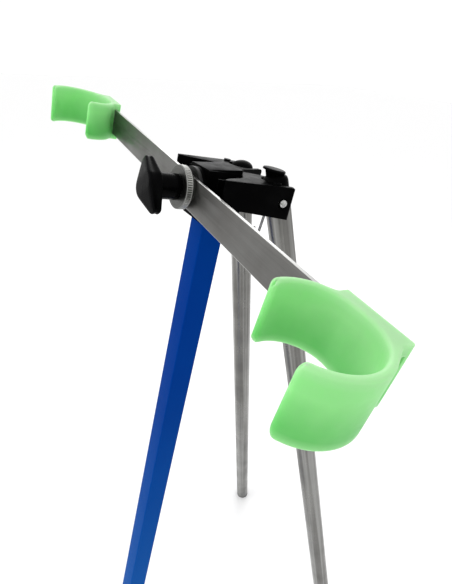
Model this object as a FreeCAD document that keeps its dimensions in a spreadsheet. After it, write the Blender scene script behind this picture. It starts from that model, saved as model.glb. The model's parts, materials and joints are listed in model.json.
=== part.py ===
import FreeCAD, Part
import os
import re
import Sketcher

from FreeCAD import Placement, Rotation, Vector

# Surf rod tripod: a leaning square front leg and two folding round rear legs under a moulded head.
# A flat bar with a rod rest at each end turns on the head's bolt and is clamped by a wing knob.
# Lengths are millimetres and angles are degrees.
SIZES = {
    # Whole stand
    "stand_height": 825.0,
    "head_lean_angle": 10.0,
    "bar_roll_angle": 5.65,
    "pivot_rise": 3.2,
    "bar_drop": 1.9,
    "cut_overrun": 2.0,
    "ground_reach": 50.0,
    "slide_fit": 0.1,
    "bore_fit": 0.1,
    "thread_fit": 0.05,
    # Flat crossbar
    "bar_length": 500.0,
    "bar_width": 30.0,
    "bar_thick": 3.0,
    "bar_offset": 13.7,
    # Rod rests
    "rest_grip_length": 39.0,
    "rest_end_length": 10.0,
    "rest_height": 44.4,
    "rest_front": 5.0,
    "rest_back": 5.5,
    "rest_wall": 5.0,
    "rest_rim_round": 2.0,
    "outer_arm_radius": 32.2,
    "outer_arm_setback": 14.0,
    "outer_arm_angle": 145.0,
    "inner_arm_radius": 27.5,
    "inner_arm_setback": 24.0,
    "inner_arm_angle": 98.0,
    "rest_screw_inset": 20.0,
    "rest_screw_radius": 2.0,
    "rest_screw_head_radius": 4.0,
    "rest_screw_head_height": 2.6,
    # Pivot bolt, washers and clamp
    "bolt_radius": 4.0,
    "bolt_length": 80.0,
    "bolt_head_height": 5.3,
    "bolt_head_flats": 13.0,
    "bolt_washer_radius": 8.0,
    "bolt_washer_thick": 1.6,
    "bolt_recess_depth": 5.5,
    "bolt_recess_radius": 9.0,
    "friction_washer_thick": 3.5,
    "disc_radius": 20.0,
    "disc_thick": 6.6,
    "disc_chamfer": 0.6,
    "disc_step_radius": 16.0,
    "disc_step_thick": 2.9,
    # Wing knob
    "knob_turn_angle": 130.0,
    "knob_hub_radius": 11.8,
    "knob_hub_length": 20.0,
    "knob_hub_chamfer": 1.2,
    "wing_thick": 13.0,
    "wing_tip_thick": 8.0,
    "wing_length": 53.0,
    "wing_end_width": 7.6,
    "wing_mid_width": 33.0,
    "wing_mid_length": 6.0,
    "wing_crown_length": 14.0,
    "wing_round": 1.8,
    "insert_radius": 6.0,
    "insert_length": 20.0,
    "insert_inset": 1.0,
    # Moulded head
    "rosette_depth": 3.8,
    "head_half_front": 48.5,
    "head_half_flare": 3.5,
    "head_length": 75.2,
    "head_top": 24.35,
    "arm_foot_front": 1.5,
    "arm_foot_rear": 6.5,
    "arm_foot_break": 29.5,
    "arm_wall": 4.0,
    "arm_tail": 9.5,
    "arm_end_round": 3.0,
    "block_half": 17.5,
    "block_front_wall": 7.4,
    "block_back_wall": 8.8,
    "block_drop": 24.0,
    "socket_roof": 6.35,
    "pad_half": 15.0,
    "pad_rise_front": 0.25,
    "pad_rise_rear": 3.15,
    "pad_back_inset": 4.0,
    "pocket_floor": 2.0,
    "pocket_rib_thick": 2.0,
    "pocket_rib_half_gap": 28.0,
    "pocket_rib_drop": 4.35,
    "top_boss_radius": 3.6,
    "top_boss_height": 2.0,
    "top_boss_setback": 9.0,
    # Front leg
    "front_leg_width": 25.0,
    "front_leg_wall": 1.5,
    "plug_height": 30.0,
    "foot_thick": 3.0,
    "foot_spigot": 18.0,
    # Rear legs
    "pin_x": 32.6,
    "pin_y": 79.5,
    "pin_z": 8.7,
    "leg_yaw_angle": 21.4,
    "leg_spread_angle": 22.1,
    "leg_radius": 12.5,
    "leg_wall": 1.2,
    "leg_lip": 9.0,
    "leg_side_gap": 0.6,
    "leg_stop_gap": 0.35,
    "spigot_depth": 40.0,
    "dome_height": 11.6,
    "dome_collar": 4.0,
    "neck_height": 17.5,
    "neck_radius": 8.5,
    "cap_radius": 11.0,
    "cap_thick": 2.6,
    "cap_tilt_angle": 34.0,
    # Pivot rivets
    "rivet_radius": 3.0,
    "rivet_head_radius": 4.5,
    "rivet_head_height": 3.2,
    "rivet_tail_height": 1.6,
    "rivet_seat": 18.4,
    "rivet_seat_radius": 5.3,
    "rivet_washer_radius": 5.5,
    "rivet_washer_thick": 1.0,
    # Weight hook
    "hook_wire_radius": 1.5,
    "hook_eye_radius": 5.2,
    "hook_side_gap": 0.2,
    "hook_stem_length": 46.0,
    "hook_bend_radius": 9.0,
    "hook_bend_angle": 180.0,
    "hook_slope_angle": 12.0,
}

# Outlines as shares of the sizes that they follow: radius share, height share
DOME_SHARES = ((1.0, 0.0), (0.97, 0.3), (0.88, 0.56), (0.72, 0.78), (0.46, 0.93), (0.0, 1.0))
NECK_SHARES = ((1.0, 0.0), (1.0, 0.46), (0.94, 0.63), (0.66, 0.8), (0.4, 0.86), (0.0, 0.88))
CAP_SHARES = ((0.94, 0.0), (1.0, 0.12), (1.0, 0.65), (0.9, 0.92), (0.5, 1.0), (0.0, 1.0))
STUB_SHARES = ((0.0, -0.5), (0.6, -0.5), (1.0, 0.0))

# Plan of a head pocket: share of the way from block to cheek, share of the way back to the bolt seat
POCKET_SHARES = ((0.0, 0.0), (0.95, 0.0), (0.74, 0.18), (0.53, 0.6), (0.4, 0.76), (0.0, 0.94))

HEAD_FRONT = "(bar_thick / 2 + friction_washer_thick + rosette_depth)"
LEG_FRONT = f"({HEAD_FRONT} + block_front_wall)"
LEG_MIDDLE = f"({LEG_FRONT} + front_leg_width / 2)"
BLOCK_BACK = f"({LEG_FRONT} + front_leg_width + block_back_wall)"
SOCKET_TOP = "(head_top - socket_roof)"
BOLT_SEAT = f"({BLOCK_BACK} - bolt_recess_depth)"
BOLT_TIP = f"(bolt_length - {BOLT_SEAT} - bolt_washer_thick)"
DISC_BACK = "(bar_thick / 2 + disc_step_thick)"
DISC_FRONT = f"({DISC_BACK} + disc_thick)"
SLOT_HALF = "(leg_radius + leg_side_gap)"
INNER_FACE = f"({SLOT_HALF} + arm_wall)"
NOTCH_APEX = f"(pin_y + {INNER_FACE} / sin(leg_yaw_angle) - pin_x / tan(leg_yaw_angle))"
LEG_FRONT_REACH = "(leg_radius / cos(leg_spread_angle) + leg_stop_gap)"
SLOT_FRONT = f"((head_top - pin_z) * tan(leg_spread_angle) + {LEG_FRONT_REACH})"
HOOK_SEAT = f"({INNER_FACE} + rivet_washer_thick + hook_side_gap)"
BAR_NEAR = "(bar_length / 2 - bar_offset)"
BAR_FAR = "(bar_length / 2 + bar_offset)"
ARMS_END = f"({HEAD_FRONT} + head_length + head_half_front / 2)"
ARMS_END_HALF = "(head_half_front + head_half_flare + head_half_flare * head_half_front / head_length / 2)"
ARM_MIDDLE = "(outer_arm_radius + rest_wall / 2)"
# Angle at which a line from the sleeve's corner touches the outer arm
ROOT_ANGLE = (
    "(atan2(outer_arm_radius; rest_end_length + outer_arm_setback)"
    " - acos((outer_arm_radius + rest_wall) / hypot(outer_arm_radius; rest_end_length + outer_arm_setback)))"
)
ROOT_MIDDLE_ANGLE = f"(({ROOT_ANGLE} + 90 deg) / 2)"

# Share of an edge's length that must run along Z for the edge to count as upright
UPRIGHT_SHARE = 0.99

RIGHT = 1
LEFT = -1
SIDE_NAMES = {RIGHT: "right", LEFT: "left"}

doc = FreeCAD.newDocument("SurfRodTripod")
sheet = doc.addObject("Spreadsheet::Sheet", "Sizes")
for row, (alias, number) in enumerate(SIZES.items(), start=1):
    sheet.set(f"A{row}", alias)
    sheet.set(f"B{row}", str(number))
    sheet.setAlias(f"B{row}", alias)
gauge = doc.addObject("App::FeaturePython", "Gauge")
gauge.addProperty("App::PropertyFloat", "Reading")
doc.recompute()

nodes = {}


def size(alias):
    """Read one driving size back from the sheet."""
    return getattr(sheet, alias)


def formula(text):
    """Point every size name in a formula at the sheet."""
    return re.sub(r"\b[a-z]+(?:_[a-z]+)+\b", lambda found: "Sizes." + found.group(0), text)


def bind(item, formulas):
    """Bind each property of an object to its formula."""
    for name, text in formulas.items():
        item.setExpression(name, formula(text))


def measure(text):
    """Work out the number that a formula gives."""
    bind(gauge, {"Reading": text})
    gauge.recompute()
    return gauge.Reading


def box(name, x_span, y_span, z_span):
    """Block between two formulas on each axis."""
    item = doc.addObject("Part::Box", name)
    for side, axis, (low, high) in zip(("Length", "Width", "Height"), "xyz", (x_span, y_span, z_span)):
        bind(item, {side: f"({high}) - ({low})", f"Placement.Base.{axis}": low})
    return item


def rod(name, radius, axis, span, centre=("0", "0")):
    """Cylinder along one axis, between two formulas, at a centre on the other two axes."""
    item = doc.addObject("Part::Cylinder", name)
    low, high = span
    turns = {
        "x": Rotation(Vector(0, 1, 0), 90),
        "y": Rotation(Vector(1, 0, 0), -90),
        "z": Rotation(),
    }
    item.Placement = Placement(Vector(), turns[axis])
    others = [letter for letter in "xyz" if letter != axis]
    bind(item, {"Radius": radius, "Height": f"({high}) - ({low})", f"Placement.Base.{axis}": low})
    for letter, text in zip(others, centre):
        bind(item, {f"Placement.Base.{letter}": text})
    return item


def closed_sketch(body, name, plane, corners, offset="0"):
    """Closed outline on one of a body's origin planes, with every corner bound to its formulas."""
    sketch = body.newObject("Sketcher::SketchObject", name)
    base = next(item for item in body.Origin.OriginFeatures if item.Role == plane)
    sketch.AttachmentSupport = [(base, "")]
    sketch.MapMode = "FlatFace"
    bind(sketch, {"AttachmentOffset.Base.z": offset})
    points = [Vector(measure(first), measure(second), 0) for first, second in corners]
    count = len(points)
    for index, point in enumerate(points):
        sketch.addGeometry(Part.LineSegment(point, points[(index + 1) % count]), False)
    for index, (first, second) in enumerate(corners):
        sketch.addConstraint(Sketcher.Constraint("Coincident", (index - 1) % count, 2, index, 1))
        for kind, text, value in (("X", first, points[index].x), ("Y", second, points[index].y)):
            place = sketch.addConstraint(Sketcher.Constraint(f"Distance{kind}", -1, 1, index, 1, value))
            label = f"corner_{index}_{kind.lower()}"
            sketch.renameConstraint(place, label)
            bind(sketch, {f"Constraints.{label}": text})
    return sketch


def prism(name, plane, corners, span):
    """Pad of an outline between two formulas along the plane's own axis."""
    body = doc.addObject("PartDesign::Body", name)
    low, high = span
    start = f"-({high})" if plane == "XZ_Plane" else low
    sketch = closed_sketch(body, f"{name}_outline", plane, corners, start)
    pad = body.newObject("PartDesign::Pad", f"{name}_pad")
    pad.Profile = sketch
    bind(pad, {"Length": f"({high}) - ({low})"})
    return body


def turned(name, profile):
    """Revolved piece about its own Z axis from radius and height formulas."""
    body = doc.addObject("PartDesign::Body", name)
    sketch = closed_sketch(body, f"{name}_profile", "XZ_Plane", profile)
    spin = body.newObject("PartDesign::Revolution", f"{name}_turn")
    spin.Profile = sketch
    spin.ReferenceAxis = (sketch, ["V_Axis"])
    return body


def fuse(name, items):
    """Join solids into one."""
    item = doc.addObject("Part::MultiFuse", name)
    item.Shapes = items
    item.Refine = True
    return item


def cut(name, base, tools):
    """Take one or more tools out of a base."""
    item = doc.addObject("Part::Cut", name)
    item.Base = base
    item.Tool = tools[0] if len(tools) == 1 else fuse(f"{name}_tools", tools)
    return item


def group(name, items):
    """Hold separate solids in one object."""
    item = doc.addObject("Part::Compound", name)
    item.Links = items
    return item


def rounded(name, base, radius, chosen):
    """Round the edges that the test picks by their middle point."""
    doc.recompute()
    item = doc.addObject("Part::Fillet", name)
    item.Base = base
    amount = size(radius)
    item.Edges = [
        (number, amount, amount)
        for number, edge in enumerate(base.Shape.Edges, start=1)
        if chosen(edge)
    ]
    return item


def add_node(item, node, frame):
    """Name a finished piece and put it in its frame."""
    item.Label = node
    item.Placement = frame
    nodes[node] = item


def at_frame(x_text, y_text, z_text, axis, angle):
    """Frame at a point given by formulas, turned about one axis."""
    return Placement(Vector(measure(x_text), measure(y_text), measure(z_text)), Rotation(axis, angle))


def below_ground(name, frame):
    """Block of ground under a foot, seen from the foot's own frame."""
    item = doc.addObject("Part::Box", name)
    bind(item, {"Length": "2 * ground_reach", "Width": "2 * ground_reach", "Height": "ground_reach"})
    spread = size("ground_reach")
    sole = frame.multVec(Vector())
    heading = frame.Rotation.multVec(Vector(0, 0, -1))
    touch = sole + heading * (sole.z / -heading.z)
    corner = Placement(Vector(touch.x - spread, touch.y - spread, -spread), Rotation())
    item.Placement = frame.inverse() * corner
    return item


# Frames: the head leans forward with the front leg, and the bar rolls about the bolt
UP = Vector(0, 0, 1)
ACROSS = Vector(1, 0, 0)
BACK = Vector(0, 1, 0)
head_frame = at_frame("0", "0", "stand_height", ACROSS, -size("head_lean_angle"))
bar_frame = head_frame * at_frame("0", "0", "pivot_rise", BACK, size("bar_roll_angle"))
# Axle frame: Z points out of the bolt towards the knob
axle_frame = head_frame * at_frame("0", "0", "pivot_rise", ACROSS, 90)
knob_frame = axle_frame * Placement(Vector(), Rotation(UP, size("knob_turn_angle")))


def pin_in_head(side):
    """Frame of a rear leg's pin inside the head: X along the pin, Y in the leg's folding plane."""
    return at_frame(f"{side} * pin_x", "pin_y", "pin_z", UP, -side * size("leg_yaw_angle"))


def leg_frame(side):
    """Frame of a rear leg at its pin: Z runs up the leg."""
    return head_frame * pin_in_head(side) * Placement(Vector(), Rotation(ACROSS, size("leg_spread_angle")))


def outward(side, span):
    """Span along a pin, given from inside to outside, for the right or the left leg."""
    low, high = span
    return (low, high) if side == RIGHT else (f"-({high})", f"-({low})")


# Crossbar, with its bolt hole at the frame's origin
def make_crossbar():
    flat = box(
        "bar_flat",
        (f"-{BAR_FAR}", BAR_NEAR),
        ("-bar_thick / 2", "bar_thick / 2"),
        ("-bar_drop - bar_width / 2", "-bar_drop + bar_width / 2"),
    )
    through = ("-bar_thick", "bar_thick")
    holes = [rod("bar_bolt_hole", "bolt_radius + bore_fit", "y", through)]
    for name, place in (
        ("near", f"{BAR_NEAR} - rest_screw_inset"),
        ("far", f"rest_screw_inset - {BAR_FAR}"),
    ):
        hole = rod(f"bar_{name}_hole", "rest_screw_radius + bore_fit", "y", through, (place, "-bar_drop"))
        holes.append(hole)
    add_node(cut("bar_drilled", flat, holes), "crossbar", bar_frame)


def arm_sector(name, radius, angle, setback, start):
    """Curved wall of a rod rest, swept about its own centre."""
    solid = doc.addObject("Part::Cylinder", f"{name}_solid")
    bind(solid, {"Radius": f"{radius} + rest_wall", "Angle": angle, "Height": "rest_height"})
    hollow = doc.addObject("Part::Cylinder", f"{name}_hollow")
    bind(hollow, {"Radius": radius, "Height": "rest_height"})
    tip = doc.addObject("Part::Cylinder", f"{name}_tip")
    bind(tip, {"Radius": "rest_wall / 2", "Height": "rest_height"})
    middle = f"({radius} + rest_wall / 2)"
    bare = cut(f"{name}_bare", solid, [hollow])
    tip_angle = angle if start else "0"
    bind(tip, {
        "Placement.Base.x": f"{middle} * cos({tip_angle})",
        "Placement.Base.y": f"{middle} * sin({tip_angle})",
    })
    wall = fuse(f"{name}_wall", [bare, tip])
    wall.Placement = at_frame(
        f"-{setback}", f"-rest_front - {radius}", "-rest_height / 2", UP, start or 90 - size(angle)
    )
    return wall


def on_outer_arm(radius, angle):
    """Place in plan on the outer arm, at a radius and an angle about its centre."""
    return (
        f"{radius} * cos({angle}) - outer_arm_setback",
        f"{radius} * sin({angle}) - rest_front - outer_arm_radius",
    )


def arm_root():
    """Plan of the thicker root that runs from the sleeve's end straight onto the outer arm."""
    return [
        ("rest_end_length", "-rest_front"),
        ("-outer_arm_setback + rest_wall", "-rest_front"),
        on_outer_arm(ARM_MIDDLE, ROOT_MIDDLE_ANGLE),
        on_outer_arm(ARM_MIDDLE, ROOT_ANGLE),
        on_outer_arm("(outer_arm_radius + rest_wall)", ROOT_ANGLE),
    ]


# Rod rest in the frame of its bar end: X runs out of the bar, the mouth opens forward
def make_rod_rest(side, frame):
    name = f"rest_{SIDE_NAMES[side]}"
    half = "rest_height / 2"
    sleeve = box(
        f"{name}_sleeve",
        ("-rest_grip_length", "rest_end_length"),
        ("-rest_front", "rest_back"),
        (f"-{half}", half),
    )
    outer = arm_sector(f"{name}_outer", "outer_arm_radius", "outer_arm_angle", "outer_arm_setback", 0)
    inner = arm_sector(f"{name}_inner", "inner_arm_radius", "inner_arm_angle", "inner_arm_setback", 90)
    root = prism(f"{name}_root", "XY_Plane", arm_root(), (f"-{half}", half))
    blank = fuse(f"{name}_blank", [sleeve, outer, inner, root])
    edge_height = size("rest_height") / 2
    small = size("slide_fit")
    soft = rounded(
        f"{name}_soft",
        blank,
        "rest_rim_round",
        lambda edge: abs(abs(edge.CenterOfMass.z) - edge_height) < small,
    )
    slot = box(
        f"{name}_slot",
        ("-rest_grip_length - cut_overrun", "rest_end_length + cut_overrun"),
        ("-bar_thick / 2 - slide_fit", "bar_thick / 2 + slide_fit"),
        ("-bar_width / 2 - slide_fit", "bar_width / 2 + slide_fit"),
    )
    hole = rod(
        f"{name}_screw_hole",
        "rest_screw_radius + bore_fit",
        "y",
        ("0", "rest_back + cut_overrun"),
        ("-rest_screw_inset", "0"),
    )
    add_node(cut(f"{name}_slotted", soft, [slot, hole]), f"rod_rest_{SIDE_NAMES[side]}", frame)


def make_rests():
    ends = {
        RIGHT: bar_frame * at_frame(BAR_NEAR, "0", "-bar_drop", BACK, 0),
        LEFT: bar_frame * at_frame(f"-{BAR_FAR}", "0", "-bar_drop", BACK, 180),
    }
    screws = []
    for side, frame in ends.items():
        make_rod_rest(side, frame)
        screw = turned(f"rest_screw_{SIDE_NAMES[side]}", [
            ("0", "slide_fit - bar_thick / 2"),
            ("rest_screw_radius", "slide_fit - bar_thick / 2"),
            ("rest_screw_radius", "rest_back"),
            ("rest_screw_head_radius", "rest_back"),
            ("rest_screw_head_radius", "rest_back + rest_screw_head_height / 2"),
            ("rest_screw_head_radius - rest_screw_head_height / 2", "rest_back + rest_screw_head_height"),
            ("0", "rest_back + rest_screw_head_height"),
        ])
        screw.Placement = frame * at_frame("-rest_screw_inset", "0", "0", ACROSS, -90)
        screws.append(screw)
    add_node(group("rest_screw_pair", screws), "rest_screws", Placement())


# Pivot bolt, with its head in the block's back and its tip in the knob
def make_bolt():
    head = doc.addObject("Part::Prism", "bolt_hexagon")
    bind(head, {
        "Circumradius": "bolt_head_flats / 2 / cos(30)",
        "Height": "bolt_head_height",
        "Placement.Base.z": f"-({BOLT_SEAT} + bolt_washer_thick + bolt_head_height)",
    })
    shank = rod(
        "bolt_shank", "bolt_radius", "z", (f"-({BOLT_SEAT} + bolt_washer_thick)", BOLT_TIP)
    )
    add_node(fuse("bolt_whole", [head, shank]), "pivot_bolt", axle_frame)
    bore = "bolt_radius + bore_fit"
    ring = turned("bolt_washer_ring", [
        (bore, f"-({BOLT_SEAT} + bolt_washer_thick)"),
        ("bolt_washer_radius", f"-({BOLT_SEAT} + bolt_washer_thick)"),
        ("bolt_washer_radius", f"-{BOLT_SEAT}"),
        (bore, f"-{BOLT_SEAT}"),
    ])
    add_node(ring, "bolt_washer", axle_frame)
    friction = turned("friction_ring", [
        (bore, "-(bar_thick / 2 + friction_washer_thick)"),
        ("disc_radius", "-(bar_thick / 2 + friction_washer_thick)"),
        ("disc_radius", "-bar_thick / 2"),
        (bore, "-bar_thick / 2"),
    ])
    add_node(friction, "friction_washer", axle_frame)


# Clamp disc between the bar and the knob
def make_clamp_disc():
    bore = "bolt_radius + bore_fit"
    disc = turned("disc_ring", [
        (bore, "bar_thick / 2"),
        ("disc_step_radius", "bar_thick / 2"),
        ("disc_step_radius", DISC_BACK),
        ("disc_radius - disc_chamfer", DISC_BACK),
        ("disc_radius", f"{DISC_BACK} + disc_chamfer"),
        ("disc_radius", f"{DISC_FRONT} - disc_chamfer"),
        ("disc_radius - disc_chamfer", DISC_FRONT),
        (bore, DISC_FRONT),
    ])
    add_node(disc, "clamp_disc", axle_frame)


# Wing knob moulded round a threaded insert
def make_knob():
    grip_back = f"({DISC_FRONT} + knob_hub_length)"
    grip_front = f"({grip_back} + wing_thick)"
    reach, end_half = "wing_length / 2", "wing_end_width / 2"
    middle, middle_half = "wing_mid_length / 2", "wing_mid_width / 2"
    plan = prism(
        "wing_plan",
        "XY_Plane",
        [
            (middle, middle_half),
            (f"-{middle}", middle_half),
            (f"-{reach}", end_half),
            (f"-{reach}", f"-{end_half}"),
            (f"-{middle}", f"-{middle_half}"),
            (middle, f"-{middle_half}"),
            (reach, f"-{end_half}"),
            (reach, end_half),
        ],
        (grip_back, grip_front),
    )
    crown = prism(
        "wing_crown",
        "XZ_Plane",
        [
            (f"-{reach}", grip_back),
            (reach, grip_back),
            (reach, f"{grip_back} + wing_tip_thick"),
            ("wing_crown_length / 2", grip_front),
            ("-wing_crown_length / 2", grip_front),
            (f"-{reach}", f"{grip_back} + wing_tip_thick"),
        ],
        (f"-{middle_half}", middle_half),
    )
    blank = doc.addObject("Part::MultiCommon", "wing_blank")
    blank.Shapes = [plan, crown]
    wing = rounded("wing_soft", blank, "wing_round", lambda edge: True)
    hub = turned("knob_hub", [
        ("0", DISC_FRONT),
        ("knob_hub_radius - knob_hub_chamfer", DISC_FRONT),
        ("knob_hub_radius", f"{DISC_FRONT} + knob_hub_chamfer"),
        ("knob_hub_radius", f"{grip_back} + wing_tip_thick / 2"),
        ("0", f"{grip_back} + wing_tip_thick / 2"),
    ])
    start = f"{DISC_FRONT} + insert_inset"
    seat_span = (DISC_FRONT, f"{start} + insert_length")
    seat = rod("insert_seat", "insert_radius + thread_fit", "z", seat_span)
    relief_span = (DISC_FRONT, f"{BOLT_TIP} + cut_overrun")
    relief = rod("bolt_tip_relief", "bolt_radius + bore_fit", "z", relief_span)
    body = cut("knob_bored", fuse("knob_whole", [wing, hub]), [seat, relief])
    add_node(body, "wing_knob", knob_frame)
    insert = turned("insert_sleeve", [
        ("bolt_radius + thread_fit", start),
        ("insert_radius", start),
        ("insert_radius", f"{start} + insert_length"),
        ("bolt_radius + thread_fit", f"{start} + insert_length"),
    ])
    add_node(insert, "knob_insert", knob_frame)


def arm_tail_block(side):
    """Space behind a head arm, square to the arm."""
    block = doc.addObject("Part::Box", f"tail_{SIDE_NAMES[side]}")
    bind(block, {"Length": "2 * head_length", "Width": "head_length", "Height": "2 * head_length"})
    block.Placement = pin_in_head(side) * at_frame("-head_length", "arm_tail", "-head_length", UP, 0)
    return block


def pin_tools(side):
    """Leg slot, rivet bore, rivet seat and side groove of one head arm."""
    name = SIDE_NAMES[side]
    wide = (f"-{SLOT_HALF}", SLOT_HALF)
    low, high = "-head_length", "head_length"
    start = f"({SLOT_HALF} - {LEG_FRONT_REACH})"
    slot = box(f"slot_{name}", wide, (start, "head_length"), (low, high))
    slot_end = rod(f"slot_end_{name}", SLOT_HALF, "z", (low, high), ("0", start))
    upper_start = f"({SLOT_HALF} - {SLOT_FRONT})"
    upper = box(f"upper_slot_{name}", wide, (upper_start, start), ("0", high))
    upper_end = rod(f"upper_slot_end_{name}", SLOT_HALF, "z", ("0", high), ("0", upper_start))
    bore_span = outward(side, (f"-{INNER_FACE} - cut_overrun", "rivet_seat + cut_overrun"))
    bore = rod(f"rivet_bore_{name}", "rivet_radius + bore_fit", "x", bore_span)
    outer_span = outward(side, ("rivet_seat", "head_length"))
    seat = rod(f"rivet_seat_{name}", "rivet_seat_radius", "x", outer_span)
    tools = fuse(f"pin_tools_{name}", [slot, slot_end, upper, upper_end, bore, seat])
    tools.Placement = pin_in_head(side)
    return tools


def head_pocket(side):
    """Open pocket between the block and the cheek."""
    corners = [
        (
            f"{side} * (block_half + {out_share} * (head_half_front - block_half))",
            f"{HEAD_FRONT} + {back_share} * ({BLOCK_BACK} - {HEAD_FRONT} - pad_back_inset)"
            + (" - cut_overrun" if not back_share else ""),
        )
        for out_share, back_share in POCKET_SHARES
    ]
    span = ("pocket_floor", "head_top + cut_overrun")
    return prism(f"pocket_{SIDE_NAMES[side]}", "XY_Plane", corners, span)


def top_boss(side):
    """Low round moulding mark on top of an arm, outside the leg slot."""
    disc = doc.addObject("Part::Cylinder", f"boss_{SIDE_NAMES[side]}")
    bind(disc, {"Radius": "top_boss_radius", "Height": "2 * top_boss_height"})
    disc.Placement = pin_in_head(side) * at_frame(
        f"{side} * ({SLOT_HALF} + top_boss_radius)",
        "-top_boss_setback",
        "head_top - pin_z - top_boss_height",
        UP,
        0,
    )
    return disc


def pocket_rib(side):
    """Thin stiffening rib that stands in a pocket."""
    return box(
        f"rib_{SIDE_NAMES[side]}",
        (
            f"{side} * pocket_rib_half_gap - pocket_rib_thick / 2",
            f"{side} * pocket_rib_half_gap + pocket_rib_thick / 2",
        ),
        (f"{HEAD_FRONT} + pocket_rib_drop", f"{BLOCK_BACK} - leg_radius"),
        ("pocket_floor - cut_overrun", "head_top - pocket_rib_drop"),
    )


def on_arm_end(edge):
    """Tell whether an edge is an arm's outer upright corner or the top edge of its tail."""
    middle, along = edge.CenterOfMass, edge.tangentAt(edge.FirstParameter)
    if middle.y < measure(f"pin_y - {SLOT_HALF} * sin(leg_yaw_angle)") or abs(middle.x) < size("pin_x"):
        return False
    crosswise = abs(along.x) > abs(along.y) and middle.z > size("head_top") - size("slide_fit")
    return crosswise or abs(along.z) > UPRIGHT_SHARE


# Moulded head
def make_head():
    deep = "head_length"
    blank = prism(
        "head_plan",
        "XY_Plane",
        [
            ("-head_half_front", HEAD_FRONT),
            ("head_half_front", HEAD_FRONT),
            (ARMS_END_HALF, ARMS_END),
            (f"-{ARMS_END_HALF}", ARMS_END),
        ],
        ("-arm_foot_rear", "head_top"),
    )
    sweep = f"({ARMS_END} + head_length)"
    slope_end = f"({HEAD_FRONT} + head_length)"
    under = prism(
        "arm_underside",
        "YZ_Plane",
        [
            ("0", "-arm_foot_front"),
            ("arm_foot_break", "-arm_foot_front"),
            (slope_end, "-arm_foot_rear"),
            (slope_end, "-arm_foot_rear - cut_overrun"),
            ("0", "-arm_foot_rear - cut_overrun"),
        ],
        (f"-{sweep}", sweep),
    )
    notch = prism(
        "rear_notch",
        "XY_Plane",
        [
            ("0", NOTCH_APEX),
            (f"{deep} * tan(leg_yaw_angle)", f"{NOTCH_APEX} + {deep}"),
            (f"-{deep} * tan(leg_yaw_angle)", f"{NOTCH_APEX} + {deep}"),
        ],
        (f"-{deep}", deep),
    )
    arms = cut("arms_bare", blank, [under, notch, arm_tail_block(RIGHT), arm_tail_block(LEFT)])
    soft = rounded("arms_soft", arms, "arm_end_round", on_arm_end)
    block = box("centre_block", ("-block_half", "block_half"), (HEAD_FRONT, BLOCK_BACK),
                ("-block_drop", "head_top"))
    rosette = rod("rosette_boss", "disc_radius", "y", (f"{HEAD_FRONT} - rosette_depth", BLOCK_BACK),
                  ("0", "pivot_rise"))
    rosette_trim = box("rosette_trim", ("-disc_radius", "disc_radius"),
                       (f"{HEAD_FRONT} - rosette_depth", BLOCK_BACK), ("-block_drop", "head_top"))
    boss = doc.addObject("Part::MultiCommon", "rosette_low")
    boss.Shapes = [rosette, rosette_trim]
    pad = prism(
        "top_pad",
        "YZ_Plane",
        [
            (HEAD_FRONT, "head_top - pad_rise_rear"),
            (HEAD_FRONT, "head_top + pad_rise_front"),
            (f"{BLOCK_BACK} - pad_back_inset", "head_top + pad_rise_rear"),
            (f"{BLOCK_BACK} - pad_back_inset", "head_top - pad_rise_rear"),
        ],
        ("-pad_half", "pad_half"),
    )
    bosses = [top_boss(RIGHT), top_boss(LEFT)]
    whole = fuse("head_whole", [soft, block, boss, pad, *bosses])
    socket = box(
        "leg_socket",
        ("-front_leg_width / 2 - slide_fit", "front_leg_width / 2 + slide_fit"),
        (f"{LEG_FRONT} - slide_fit", f"{LEG_FRONT} + front_leg_width + slide_fit"),
        ("-block_drop - cut_overrun", SOCKET_TOP),
    )
    bore = rod("bolt_bore", "bolt_radius + bore_fit", "y", ("0", f"{BLOCK_BACK} + cut_overrun"),
               ("0", "pivot_rise"))
    recess = rod("bolt_recess", "bolt_recess_radius", "y", (BOLT_SEAT, f"{BLOCK_BACK} + head_length"),
                 ("0", "pivot_rise"))
    hollowed = cut("head_hollowed", whole, [head_pocket(RIGHT), head_pocket(LEFT)])
    ribbed = fuse("head_ribbed", [hollowed, pocket_rib(RIGHT), pocket_rib(LEFT)])
    tools = [socket, bore, recess, pin_tools(RIGHT), pin_tools(LEFT)]
    add_node(cut("head_moulding", ribbed, tools), "head_body", head_frame)


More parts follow.
